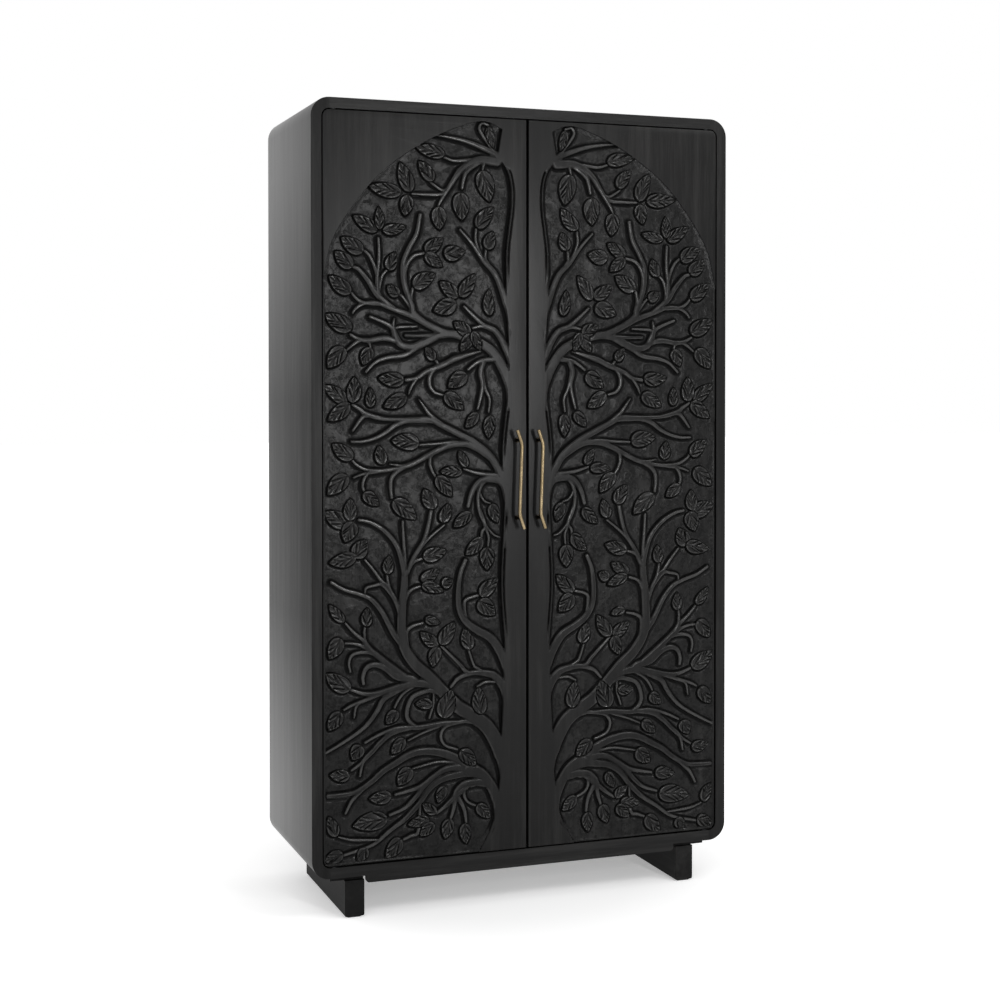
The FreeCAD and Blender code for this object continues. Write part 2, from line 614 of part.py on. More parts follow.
# The carver's drawing is squared up on a grid of 100 columns by 350 rows, counted from the door's
# outer lower corner. A bough has its widths at the start and the end, as shares of bough_width, and
# the points from the trunk outwards. A leaf has its middle, the way its tip points in degrees (0 is
# towards the meeting edge, 90 is up) and its size, as a share of leaf_length and leaf_width.
GRID_COLUMNS, GRID_ROWS = 100, 350
LEAF_BROADEST_SHARE = 0.4
ARCH_SHARES = ((0, 271), (6, 293), (26, 320), (49, 337), (70, 346.5), (80, 348), (87.5, 345))
TRUNK_SHARES = ((87.5, 345), (86.5, 336), (90.5, 318), (88, 288), (89.5, 268), (90.5, 248), (91, 226),
                (87.5, 192), (88.7, 166), (87, 128), (89, 94), (87.5, 60), (86, 30), (83, 14), (77, 2))
MAIN_BOUGH_SHARES = (
    (0.9, 0.2, ((92, 322), (80, 334), (68, 338.5), (54, 340.5))),
    (1.1, 0.25, ((92, 326), (76, 329.5), (66, 323), (56, 307))),
    (0.9, 0.3, ((93, 262), (84, 276), (75, 287), (66, 297))),
    (0.9, 0.3, ((93, 241), (84, 249), (75, 255), (68, 261))),
    (1.25, 0.3, ((94, 226), (80, 241), (60, 248), (43, 255), (26, 261), (14, 256))),
    (0.9, 0.4, ((94, 225), (86, 234), (79, 235), (70, 230))),
    (1.0, 0.4, ((92, 178), (80, 191), (64, 201), (50, 207), (34, 207), (20, 210))),
    (0.9, 0.3, ((84, 187), (70, 195), (56, 193), (40, 185), (26, 183), (13, 189))),
    (1.0, 0.5, ((93, 183), (80, 178), (73, 172), (70.5, 165))),
    (1.1, 0.5, ((93, 88), (82, 102), (69, 111), (65.5, 124), (69.5, 140))),
    (1.75, 0.9, ((91, 45), (80, 60), (64, 72), (48, 88), (38, 104), (39, 134))),
    (1.1, 0.4, ((93, 75), (84, 84), (73, 86), (62, 80))),
    (1.25, 0.5, ((90, 24), (78, 37), (62, 47), (46, 50), (30, 43), (15, 33), (3, 33))),
    (1.0, 0.4, ((84, 31), (68, 38), (54, 34), (42, 22), (26, 10), (10, 5))),
)
SIDE_BOUGH_SHARES = (
    (0.5, 0.35, ((59, 313.5), (51, 312.5), (43.5, 312.5))),
    (0.6, 0.4, ((71, 325), (69, 321), (67.5, 316))),
    (0.6, 0.4, ((27, 262), (26, 274), (27, 291))),
    (0.9, 0.5, ((45, 253), (39.5, 271), (39, 280), (45, 294), (47, 303))),
    (0.6, 0.4, ((39.5, 274), (44, 283.5), (49, 285))),
    (0.75, 0.4, ((28, 262), (22, 271), (14.5, 278))),
    (0.45, 0.35, ((79.5, 281), (75, 290), (74.5, 297))),
    (0.75, 0.4, ((33, 247), (22, 244), (13.5, 246.5))),
    (0.9, 0.35, ((59, 247), (50, 244), (39, 237), (31, 236), (20.5, 229.5))),
    (1.0, 0.4, ((49, 243), (38, 241.5), (33.5, 250), (22.5, 255))),
    (0.6, 0.4, ((60, 247), (50, 246.5), (40, 246.5))),
    (0.75, 0.35, ((79, 236), (77, 229), (78, 223), (75.5, 212))),
    (0.9, 0.45, ((79, 236), (64, 235.5), (50, 229.5), (40, 225.5))),
    (0.6, 0.35, ((56, 233), (52, 225), (53.5, 220), (58, 218.5))),
    (0.75, 0.35, ((47, 207), (35, 204.5), (24.5, 198), (13.5, 197))),
    (0.5, 0.3, ((66, 196), (56, 195.5), (46.5, 195))),
    (0.6, 0.4, ((38, 185), (33, 178), (33, 170.5))),
    (0.6, 0.25, ((76, 176), (76, 164), (82, 153), (87, 150))),
    (0.55, 0.35, ((71, 86), (66.5, 90.5), (57.5, 99.5))),
    (0.75, 0.4, ((39.5, 131), (35, 149), (23, 159), (17.5, 160.5))),
    (0.55, 0.35, ((39.5, 131), (39.5, 142), (38.5, 159))),
    (0.6, 0.5, ((40, 132), (48.5, 149.5), (52.5, 164))),
    (0.6, 0.3, ((37, 117), (29, 130.5), (20, 142))),
    (0.75, 0.4, ((36, 103), (28, 117.5), (17, 126), (4, 132))),
    (0.9, 0.3, ((36, 88.5), (21, 101.5), (10.5, 112.5))),
    (1.0, 0.4, ((44, 84.5), (31, 90), (21, 91.5), (19.5, 84))),
    (1.0, 0.4, ((48, 83), (27, 79), (13.5, 81.5))),
    (0.75, 0.35, ((34, 79.5), (26, 71), (16, 61), (1.5, 53))),
    (0.6, 0.45, ((54, 78.5), (43, 76), (41, 66), (49, 61.5), (58, 63))),
    (0.75, 0.3, ((58, 63), (37, 62.5), (20, 56.5))),
    (0.75, 0.3, ((35, 61), (23, 51.5), (13.5, 44))),
    (1.0, 0.4, ((72, 39.5), (59, 41), (46.5, 33.5), (34.5, 31))),
    (0.75, 0.4, ((50, 35), (39.5, 24.5), (32, 21.5))),
    (1.0, 0.5, ((80, 33), (70, 33.5), (63.5, 27.5))),
    (0.75, 0.4, ((67, 30), (60, 24), (55, 20.5))),
    (0.6, 0.4, ((65, 28), (63.5, 22), (62, 17.5))),
    (0.6, 0.4, ((66, 27), (68.5, 21), (69.5, 15))),
)
LEAF_SHARES = (
    (52, 333, 167, 1.3), (50, 324, 125, 1.0), (39.5, 320.5, 115, 1.3), (30, 314, 175, 1.4),
    (56, 301.5, -85, 1.0), (20.5, 298, 149, 1.2), (27.5, 301, 90, 0.9), (34.5, 296, 15, 1.0),
    (54, 289, 33, 1.0), (63.5, 285.5, 5, 1.0), (49, 272.5, 30, 1.1), (14, 288, 150, 1.1),
    (10, 281.5, 140, 1.0), (8.5, 269.5, 145, 1.1), (79.5, 317.5, -77, 1.4), (67, 307.5, -90, 1.2),
    (79, 303, 47, 1.1), (61, 268.5, 141, 1.0), (70.5, 270.5, 57, 1.1), (59.5, 259.5, 197, 1.1),
    (81, 262.5, 95, 1.0), (7.5, 252.5, 153, 1.3), (6, 236, 230, 1.1), (33, 226, 178, 1.1),
    (65.5, 225.5, 218, 1.0), (64, 215.5, -36, 1.1), (34.5, 215.5, 207, 1.1), (6.5, 219.5, 145, 1.1),
    (15, 221, 87, 1.1), (8, 210.5, 215, 1.1), (81.5, 203.5, -95, 0.9), (39.5, 197, 174, 1.2),
    (9, 192, 143, 1.1), (62.5, 182.5, 180, 0.9), (58.5, 175.5, -50, 1.1), (6.5, 177, 220, 1.2),
    (39.5, 164.5, -38, 1.3), (51, 169.5, 118, 1.0), (68, 159, 221, 0.9), (74, 146, 223, 1.0),
    (80.5, 140.5, -90, 1.0), (81, 126.5, 39, 1.1), (80.5, 117, -45, 1.1), (54, 143, 14, 1.1),
    (52, 133, 31, 0.9), (53, 127.5, -18, 0.9), (51, 103, 143, 1.0), (60.5, 105.5, 56, 1.1),
    (70.5, 102, 110, 1.0), (6.5, 161, 155, 1.2), (13, 165.5, 85, 1.0), (9.5, 142, 193, 1.1),
    (6.5, 117.5, 130, 0.9), (5.5, 101, 237, 1.0), (6.5, 85.5, 147, 1.2), (60, 72, 70, 1.3),
    (76.5, 72.5, 94, 1.1), (71, 45.5, -45, 1.0), (27.5, 30, 183, 1.0), (22.5, 19, 190, 1.4),
    (34, 5.5, 230, 1.1), (46, 17, 190, 0.9),
)


def door_point(share):
    """A point of the carver's grid on the front of the right door."""
    across = door_width.mm * share[0] / GRID_COLUMNS
    height = door_height.mm * share[1] / GRID_ROWS
    return FreeCAD.Vector(inside_half.mm - S.door_gap.mm - across, front.mm, door_low.mm + height)


def smooth(points):
    curve = Part.BSplineCurve()
    curve.interpolate(points)
    return curve.toShape()


def face_within(edges):
    return Part.Face(Part.Wire(Part.__sortEdges__(edges)))


def bough_face(start_share, end_share, shares):
    """A bough on the door's face, tapering from the trunk to its tip."""
    points = [door_point(share) for share in shares]
    last = len(points) - 1
    upper, lower = [], []
    for index, point in enumerate(points):
        before, after = points[max(index - 1, 0)], points[min(index + 1, last)]
        way = (after - before).normalize()
        across = FreeCAD.Vector(-way.z, 0, way.x)
        width_share = start_share + (end_share - start_share) * index / last
        half = S.bough_width.mm * width_share / 2
        upper.append(point + across * half)
        lower.append(point - across * half)
    ends = [Part.makeLine(upper[end], lower[end]) for end in (0, last)]
    return face_within([smooth(upper), smooth(lower)] + ends)


def leaf_prism(across, up, angle, size_share):
    """A leaf, pointed at both ends, that stands a little lower than the door's face."""
    turn = math.radians(angle)
    way = FreeCAD.Vector(-math.cos(turn), 0, math.sin(turn)) * (S.leaf_length.mm * size_share)
    aside = FreeCAD.Vector(-math.sin(turn), 0, -math.cos(turn)) * (S.leaf_width.mm * size_share / 2)
    stem = door_point((across, up)) - way / 2 + FreeCAD.Vector(0, S.leaf_drop.mm, 0)
    broadest = stem + way * LEAF_BROADEST_SHARE
    edges = [smooth([stem, broadest + aside * turn_side, stem + way]) for turn_side in (-1, 1)]
    return face_within(edges).extrude(FreeCAD.Vector(0, S.carving_depth.mm, 0))


def carved_hollow():
    """The sunk ground under the arch of the right door, with boughs and leaves left standing in it."""
    arch = smooth([door_point(share) for share in ARCH_SHARES])
    trunk = smooth([door_point(share) for share in TRUNK_SHARES])
    foot = door_point(TRUNK_SHARES[-1])
    spring = door_point(ARCH_SHARES[0])
    corner = FreeCAD.Vector(spring.x, foot.y, foot.z)
    ground = face_within([arch, trunk, Part.makeLine(foot, corner), Part.makeLine(corner, spring)])
    rim = S.carving_rim.mm
    lowest, highest = door_point((GRID_COLUMNS, 0)), door_point((0, GRID_ROWS))
    low_z, high_z, outer_x = lowest.z + rim, highest.z - rim, highest.x - rim
    corners = [FreeCAD.Vector(x, front.mm, z) for x, z in (
        (lowest.x, low_z), (outer_x, low_z), (outer_x, high_z), (lowest.x, high_z))]
    ground = ground.common(Part.Face(Part.makePolygon(corners, True)))
    ground = ground.cut([bough_face(*bough) for bough in MAIN_BOUGH_SHARES + SIDE_BOUGH_SHARES])
    hollow = ground.extrude(FreeCAD.Vector(0, S.carving_depth.mm, 0))
    return hollow.cut([leaf_prism(*leaf) for leaf in LEAF_SHARES])


def hinge_plates(name, side):
    """Plates let into the door's top and bottom edges, with the pins that turn in the bushes."""
    plates, fixings, seats = [], [], []
    middle = (inside_half - S.door_gap - S.hinge_plate_margin - S.hinge_plate_length / 2) * side
    first_screw = middle - (S.hinge_plate_length / 2 - S.hinge_plate_margin) * side
    plate_front = front + S.hinge_plate_setback
    screw_y = plate_front + S.hinge_plate_width / 2
    pin_length = S.hinge_plate_thickness + S.door_gap + S.pin_reach
    for edge, way, into, out in ((door_low, 1, "+z", "-z"), (door_high, -1, "-z", "+z")):
        seat_low = edge if way > 0 else edge - S.hinge_plate_thickness
        leaf_size = (S.hinge_plate_length, S.hinge_plate_width, S.hinge_plate_thickness)
        leaf = block(middle, plate_front, seat_low, *leaf_size)
        seats.append(block(middle, plate_front, seat_low, *leaf_size))
        pin_start = edge + S.hinge_plate_thickness * way
        pin = rod(pivot_x * side, pivot_y, pin_start, S.pin_radius, pin_length, out)
        screw_places = (first_screw, first_screw + S.hinge_screw_spacing * side)
        screws = [screw(x, screw_y, edge, into, "hinge_screw") for x in screw_places]
        plates.append(cut(fuse([leaf, pin]), screws))
        fixings += screws
    node(group(plates), f"{name}_hinge_plates")
    return [node(group(fixings), f"{name}_hinge_screws")] + seats


def strike_plate(name, side):
    """The steel plate that the catch holds, screwed to the back of the door."""
    strike_low = catch_middle - S.strike_height / 2 - S.door_gap
    strike = block(S.catch_centre * side, door_back, strike_low, S.strike_width, S.strike_thickness,
                   S.strike_height)
    screws = [
        screw((S.catch_centre + S.strike_screw_spacing / 2 * way) * side, door_back + S.strike_thickness,
              strike_low + S.strike_height / 2, "-y", "strike_screw") for way in (-1, 1)
    ]
    fixings = node(group(screws), f"{name}_strike_screws")
    node(cut(strike, [fixings]), f"{name}_strike_plate")
    return [fixings]


def pull_path(body):
    """The line of a pull's rod: a straight run that leans a little, and two tips bent opposite ways."""
    tip_length = (S.pull_tip_rise * S.pull_tip_rise + S.pull_tip_sweep * S.pull_tip_sweep).root()
    run_length = (S.pull_half_run * S.pull_half_run + S.pull_lean * S.pull_lean).root()
    tip_share = S.pull_bend / tip_length
    run_share = S.pull_bend / run_length
    upper = [
        (S.pull_lean - S.pull_tip_sweep, S.pull_half_run + S.pull_tip_rise),
        (S.pull_lean - S.pull_tip_sweep * tip_share, S.pull_half_run + S.pull_tip_rise * tip_share),
        (S.pull_lean - S.pull_lean * run_share, S.pull_half_run - S.pull_half_run * run_share),
    ]
    places = upper + [(-x, -z) for x, z in reversed(upper)]
    spots = [FreeCAD.Vector(mm(x), mm(z), 0) for x, z in places]
    corner = FreeCAD.Vector(S.pull_lean.mm, S.pull_half_run.mm, 0)
    path = body.newObject("Sketcher::SketchObject", "path")
    planes = {feature.Role: feature for feature in body.Origin.OriginFeatures}
    path.AttachmentSupport = (planes["XZ_Plane"], "")
    path.MapMode = "FlatFace"
    path.setExpression("AttachmentOffset.Base.z", S.pull_standoff.text)
    for first in (0, 2, 4):
        path.addGeometry(Part.LineSegment(spots[first], spots[first + 1]))
    for first, bend in ((1, corner), (3, corner * -1)):
        middle = (spots[first] + spots[first + 1]) * 0.25 + bend * 0.5
        path.addGeometry(Part.Arc(spots[first], middle, spots[first + 1]))
    for number, (x, z) in enumerate(places):
        for kind, size in (("DistanceX", x), ("DistanceY", z)):
            rule = Sketcher.Constraint(kind, -1, 1, number // 2, number % 2 + 1, mm(size))
            path.setExpression(f"Constraints[{path.addConstraint(rule)}]", expression(size))
    for arc, before, after in ((3, 0, 1), (4, 1, 2)):
        joint = path.getPoint(before, 2)
        near, far = sorted((1, 2), key=lambda end: path.getPoint(arc, end).distanceToPoint(joint))
        path.addConstraint(Sketcher.Constraint("Tangent", before, 2, arc, near))
        path.addConstraint(Sketcher.Constraint("Coincident", arc, far, after, 1))
    return path


def pull_rod(name, side):
    """A slim rod bent into a flat S, on two posts, held by screws from behind the door."""
    pull_x = (S.meeting_gap / 2 + S.pull_edge) * side
    post_reach = S.pull_half_run + S.pull_post_outset
    post_lean = S.pull_lean - S.pull_tip_sweep * S.pull_post_outset / S.pull_tip_rise
    posts = ((post_lean, post_reach), (-post_lean, -post_reach))
    body = doc.addObject("PartDesign::Body", "pull")
    place(body, pull_x, front, S.pull_height)
    path = pull_path(body)
    doc.recompute()
    section = body.newObject("Sketcher::SketchObject", "section")
    section.AttachmentSupport = (path, "Edge1")
    section.MapMode = "NormalToEdge"
    section.addGeometry(Part.Circle(FreeCAD.Vector(0, 0, 0), FreeCAD.Vector(0, 0, 1), S.pull_rod_radius.mm))
    section.addConstraint(Sketcher.Constraint("Coincident", 0, 3, -1, 1))
    number = section.addConstraint(Sketcher.Constraint("Radius", 0, S.pull_rod_radius.mm))
    section.setExpression(f"Constraints[{number}]", S.pull_rod_radius.text)
    pipe = body.newObject("PartDesign::AdditivePipe", "pipe")
    pipe.Profile = section
    pipe.Spine = (path, [f"Edge{edge}" for edge in range(1, 6)])
    screws = []
    for x, z in posts:
        pad(body, circle(body, "XZ_Plane", x, z, S.pull_post_radius), S.pull_standoff)
        pad(body, circle(body, "XZ_Plane", x, z, S.pull_collar_radius), S.pull_collar_thickness)
        height = S.pull_height + z
        head = rod(pull_x + x, door_back + S.pull_screw_head_height, height, S.pull_screw_head_radius,
                   S.pull_screw_head_height, "-y")
        shank = rod(pull_x + x, door_back, height, S.pull_screw_radius, S.pull_screw_length, "-y")
        screws.append(fuse([head, shank]))
    fixings = node(group(screws), f"{name}_pull_screws")
    node(cut(body, [fixings]), f"{name}_pull")
    return [fixings]


def door_slab(side):
    """The plain slab of a door: large outer corners, and nearly square ones at the meeting edge."""
    body = doc.addObject("PartDesign::Body", "slab")
    outer_x = (inside_half - S.door_gap) * side
    meeting_x = S.meeting_gap / 2 * side
    outer, inner = inner_radius - S.door_gap, S.meeting_round
    if side < 0:
        steps = rounded_corners(outer_x, door_low, meeting_x, door_high, outer, inner, inner, outer)
    else:
        steps = rounded_corners(meeting_x, door_low, outer_x, door_high, inner, outer, outer, inner)
    pad(body, outline(body, "XZ_Plane", steps, -front), S.door_thickness, backwards=True)
    return body


# Doors and what is fixed to them. The left door's carving is the mirror image of the right one's.
right_hollow = carved_hollow()
left_hollow = right_hollow.mirror(FreeCAD.Vector(0, 0, 0), FreeCAD.Vector(1, 0, 0))
hollows = {"left": left_hollow, "right": right_hollow}
for name, side in SIDES.items():
    seats = hinge_plates(name, side) + strike_plate(name, side) + pull_rod(name, side)
    hollow = doc.addObject("Part::Feature", "hollow")
    hollow.Shape = hollows[name]
    node(cut(door_slab(side), [hollow] + seats), f"{name}_door")

doc.recompute()

# Every object has to be sound before anything is written
broken = [item.Label for item in doc.Objects if {"Invalid", "Error"} & set(item.State)]
for piece in nodes:
    if piece.Shape.isNull() or not piece.Shape.isValid() or not piece.Shape.Solids:
        broken.append(piece.Label)
if broken:
    raise RuntimeError(f"these pieces failed: {sorted(set(broken))}")

os.makedirs("parts", exist_ok=True)
for piece in nodes:
    piece.Shape.exportStep(f"parts/{piece.Label}.step")
    print(f"{piece.Label}: {len(piece.Shape.Solids)} solids, {piece.Shape.Volume:.0f} mm3")
print(f"{len(nodes)} pieces written")
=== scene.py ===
# %% [markdown]
# # A carved bar armoire
#
# This lesson dresses a tall drinks cabinet: a black-stained case with rounded corners, two doors
# carved as the halves of one tree, and slim brass pulls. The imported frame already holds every
# board, screw and hinge at its real size. Blender adds what the frame leaves plain: the carving as
# a real mesh, softened edges, and a finish for each surface.
#
# All lengths are in metres, because the frame is. Where a size is easier to think of in
# millimetres it is written as a number of `MM`.

# %% Load the frame
import itertools
import math

import bpy
import numpy as np
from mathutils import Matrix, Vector


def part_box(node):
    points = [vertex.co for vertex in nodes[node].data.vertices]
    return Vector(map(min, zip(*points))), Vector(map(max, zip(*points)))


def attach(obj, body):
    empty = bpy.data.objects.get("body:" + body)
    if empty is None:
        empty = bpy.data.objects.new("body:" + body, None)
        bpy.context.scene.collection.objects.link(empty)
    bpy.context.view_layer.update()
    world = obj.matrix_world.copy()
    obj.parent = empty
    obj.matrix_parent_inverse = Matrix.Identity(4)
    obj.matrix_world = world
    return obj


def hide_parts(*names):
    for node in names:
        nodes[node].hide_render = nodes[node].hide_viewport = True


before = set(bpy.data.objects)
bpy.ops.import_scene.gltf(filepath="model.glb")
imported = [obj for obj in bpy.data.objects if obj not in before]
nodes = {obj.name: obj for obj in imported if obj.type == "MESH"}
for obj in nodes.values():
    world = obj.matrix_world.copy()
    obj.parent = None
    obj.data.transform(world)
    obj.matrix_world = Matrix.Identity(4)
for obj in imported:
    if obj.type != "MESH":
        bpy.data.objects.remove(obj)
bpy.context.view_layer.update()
MM = 0.001

# %% [markdown]
# ## Writing shaders as sums
#
# A finish is a small graph of nodes, and joining nodes one by one is slow to read. `Wire` stands
# for one output socket and knows `+`, `-` and `*`, so `1 - mask` adds the Math node it needs.
# `Graph` holds a tree of nodes. Its `add` method makes any other node: first the node's settings,
# such as a ramp's stops, then the values or wires of its sockets. `Finish` is the graph of one
# material, with the few nodes that every finish needs.

# %% Wires and graphs
class Wire:
    """One output socket of a graph."""

    def __init__(self, graph, socket):
        self.graph = graph
        self.socket = socket

    def __add__(self, other):
        return self.graph.math("ADD", self, other)

    def __sub__(self, other):
        return self.graph.math("SUBTRACT", self, other)

    def __rsub__(self, other):
        return self.graph.math("SUBTRACT", other, self)

    def __mul__(self, other):
        return self.graph.math("MULTIPLY", self, other)

    __radd__ = __add__
    __rmul__ = __mul__


class Graph:
    """A tree of shader nodes."""

    def __init__(self, tree):
        self.tree = tree

    def feed(self, socket, value):
        if isinstance(value, Wire):
            self.tree.links.new(value.socket, socket)
        else:
            socket.default_value = value

    def add(self, kind, settings=None, sockets=None, out=0):
        node = self.tree.nodes.new(kind)
        for name, value in (settings or {}).items():
            if name == "stops":
                ramp = node.color_ramp
                while len(ramp.elements) < len(value):
                    ramp.elements.new(0.5)
                for element, (position, colour) in zip(ramp.elements, value):
                    element.position = position
                    element.color = (*colour, 1)
            else:
                setattr(node, name, value)
        for key, value in (sockets or {}).items():
            self.feed(node.inputs[key], value)
        return Wire(self, node.outputs[out])

    def math(self, operation, *values):
        return self.add("ShaderNodeMath", {"operation": operation}, dict(enumerate(values)))


print("wires and graphs are ready")

# %% Finishes
class Finish(Graph):
    """One material, with a Principled shader at its end."""

    def __init__(self, name):
        self.material = bpy.data.materials.new(name)
        self.material.use_nodes = True
        super().__init__(self.material.node_tree)
        self.tree.nodes.clear()
        self.shader = self.tree.nodes.new("ShaderNodeBsdfPrincipled")
        self.own = Wire(self, self.shader.outputs[0])
        self.output = self.tree.nodes.new("ShaderNodeOutputMaterial")
        self.end_with(self.own)

    def end_with(self, shader):
        self.feed(self.output.inputs["Surface"], shader)

    def set(self, **sockets):
        """Set or join the Principled shader's sockets, whose names are written with underscores."""
        for name, value in sockets.items():
            self.feed(self.shader.inputs[name.replace("_", " ")], value)

    def place(self):
        return self.add("ShaderNodeTexCoord", out="Object")

    def along(self, axis):
        return self.add("ShaderNodeSeparateXYZ", {}, {0: self.place()}, out=axis)

    def mask(self, name):
        """A value that the mesh carries on its points."""
        return self.add("ShaderNodeAttribute", {"attribute_name": name}, out="Fac")

    def noise(self, vector, scale=1.0, detail=4.0, roughness=0.55, distortion=0.0):
        sockets = {"Vector": vector, "Scale": scale, "Detail": detail, "Roughness": roughness,
                   "Distortion": distortion}
        return self.add("ShaderNodeTexNoise", {}, sockets)

    def ramp(self, value, stops):
        return self.add("ShaderNodeValToRGB", {"stops": stops}, {0: value})

    def between(self, value, low, high):
        """0 where a value is at its low, 1 at its high."""
        return self.add("ShaderNodeMapRange", {}, {"Value": value, "From Min": low, "From Max": high})

    def mix(self, share, first, second):
        """A colour between two colours."""
        return self.add("ShaderNodeMix", {"data_type": "RGBA"}, {0: share, 6: first, 7: second}, out=2)

    def relief(self, height, depth, strength=1.0):
        """A normal bent by a height of 0 to 1 that stands for the given depth."""
        sockets = {"Strength": strength, "Distance": depth, "Height": height}
        self.set(Normal=self.add("ShaderNodeBump", {}, sockets))


print("finishes are ready")

# %% [markdown]
# ## Black-stained wood
#
# The case is open-pored hardwood under a thin black stain. The grain still shows as fine streaks
# and a change of gloss, more than of colour. Wood could be painted as an image, but a noise
# stretched along the board needs no picture and never repeats: across the grain it changes every
# few millimetres, along it every few hundred. Each board says which way its grain runs.
#
# A stain has little gloss seen square on and a lot at a glancing angle, so the index of refraction
# is low and the roughness middling. That is what makes the side paler than the front. The legs are
# left dull. The case's sides were polished, and the polish is worn thin where people brush past: at
# hand height and towards the front.

# %% Grain
ACROSS_GRAIN = 52.0      # streaks in a metre, across the board
ALONG_GRAIN = 2.2        # and along it
PORE_FINENESS = 9.0      # pores are this much finer than streaks
CLOUDS = 3.2             # broad paler and darker places in a metre
STREAK_SHARE, PORE_SHARE, CLOUD_SHARE = 0.55, 0.2, 0.25     # what each gives to the tone
GRAIN_AXES = {"x": 0, "y": 1, "z": 2}


def grain_of(finish, axis):
    """Streaks and pores that run along one axis."""
    scale = [ACROSS_GRAIN] * 3
    scale[GRAIN_AXES[axis]] = ALONG_GRAIN
    along = finish.add("ShaderNodeMapping", {}, {"Vector": finish.place(), "Scale": scale})
    streaks = finish.noise(along, detail=5.0, roughness=0.62, distortion=0.4)
    pores = finish.noise(along, scale=PORE_FINENESS, detail=3.0, roughness=0.6)
    return streaks, pores


def tone_of(finish, streaks, pores):
    """How pale the stained wood is at each place."""
    cloud = finish.noise(finish.place(), scale=CLOUDS, detail=3.0)
    return streaks * STREAK_SHARE + pores * PORE_SHARE + cloud * CLOUD_SHARE


print("grain is ready")

# %% Stained boards
BLACK_STOPS = ((0.34, (0.0022, 0.0022, 0.0022)), (0.50, (0.0048, 0.0047, 0.0046)),
               (0.66, (0.0150, 0.0147, 0.0143)))
STREAK_GLOSS, PORE_GLOSS = 0.14, 0.10     # what streaks and pores add to the roughness
COATED = (0.42, 0.64)    # the coat grows between these tones


def coat_on(finish, weight):
    finish.set(Coat_Weight=weight, Coat_Roughness=0.36, Coat_IOR=1.38)


def black_wood(name, axis, stops=BLACK_STOPS, gloss=0.36, bend=1.25, coat=0.3):
    """Stained wood: its roughness, the index by which it bends light, and the gloss of its streaks."""
    finish = Finish(name)
    streaks, pores = grain_of(finish, axis)
    tone = tone_of(finish, streaks, pores)
    smoothest = gloss - (STREAK_GLOSS + PORE_GLOSS) / 2
    finish.set(Base_Color=finish.ramp(tone, stops), IOR=bend)
    finish.set(Roughness=smoothest + STREAK_GLOSS * streaks + PORE_GLOSS * pores)
    if coat:
        coat_on(finish, finish.between(tone, *COATED) * coat)
    finish.relief(streaks * 0.4 + pores * 0.6, depth=0.5 * MM, strength=0.5)
    return finish


HAND_HEIGHT = 0.95
UNWORN = (0.25, 0.8)     # the polish grows between these distances above and below hand height
FRONT_EDGE = 1.5 * MM    # the width of the sanded edge in front
STREAKED = (0.42, 0.62)  # streaks paler than this take more polish
BACK_POLISH, END_POLISH, EDGE_POLISH, STREAK_POLISH = 0.42, 0.68, 0.26, 0.10
END_FRONT = 0.75         # in front the ends have this share of their polish


def polished_side():
    """The case's sides, whose coat is the polish that is left."""
    finish = black_wood("black_wood_upright", "z", gloss=0.54, bend=1.11, coat=0)
    streaks, pores = grain_of(finish, "z")
    depth, height = finish.along("Y"), finish.along("Z")
    lowest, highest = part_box("left_side_panel")
    to_back = finish.between(depth, lowest.y, highest.y)
    to_ends = finish.between(finish.math("ABSOLUTE", height - HAND_HEIGHT), *UNWORN)
    front_edge = finish.between(depth, lowest.y + FRONT_EDGE, lowest.y)
    grain = finish.between(streaks * 0.7 + pores * 0.3, *STREAKED)
    worn = BACK_POLISH * to_back + END_POLISH * to_ends * (END_FRONT + (1 - END_FRONT) * to_back)
    coat_on(finish, worn * (1 - front_edge) + EDGE_POLISH * front_edge + STREAK_POLISH * grain)
    return finish


upright_wood = polished_side()
level_wood = black_wood("black_wood_level", "x", gloss=0.32, bend=1.24, coat=0.12)
deep_wood = black_wood("black_wood_front_to_back", "y", gloss=0.60, bend=1.2, coat=0)
print("black wood:", [finish.material.name for finish in (upright_wood, level_wood, deep_wood)])

# %% [markdown]
# ## The wood inside
#
# Shelves, counter and racks get the same stain, a thinner coat that is left matt. The loose splines
# in the corners get none, because nobody sees them.

# %% Inner and plain wood
INNER_STOPS = ((0.32, (0.012, 0.0105, 0.009)), (0.55, (0.024, 0.021, 0.018)),
               (0.74, (0.045, 0.038, 0.031)))
PALE_STOPS = ((0.3, (0.26, 0.18, 0.10)), (0.55, (0.36, 0.26, 0.15)), (0.75, (0.45, 0.34, 0.21)))
inner_upright, inner_level, inner_deep = (
    black_wood(f"inner_wood_{way}", axis, INNER_STOPS, gloss=0.58)
    for way, axis in (("upright", "z"), ("level", "x"), ("front_to_back", "y")))
pale_wood = black_wood("pale_wood", "y", PALE_STOPS, gloss=0.62)
print("inner wood and pale wood are ready")

# %% [markdown]
# ## Metals, felt and plastic
#
# The pulls are brass left to age: the colour wanders between bright and brown, and the gloss with
# it. The rod's back and the posts are painted nearly black: partly tarnish where polish never reaches,
# partly painted shade. Zinc-plated screws are paler, the hinges are blackened. Felt is a mat of short
# fibres, so it has no gloss and a fine fuzz of bumps.

# %% Metals
SCRATCHES = 900.0        # scratches in a metre
SCRATCH_GLOSS = 0.06     # and what they add to the roughness
BRASS_STOPS = ((0.3, (0.17, 0.129, 0.072)), (0.5, (0.225, 0.174, 0.102)), (0.7, (0.28, 0.222, 0.134)))
DARK_BACK_DEPTHS = (1.6 * MM, 5.5 * MM)     # behind the rod's front, tarnish and painted shade darken the brass between these depths
# The nearly black of the rod's back and the posts: tarnish and painted shade.
TARNISH_AND_SHADE = (0.010, 0.008, 0.006, 1)


def two_tones(dark, pale):
    return (0.3, dark), (0.7, pale)


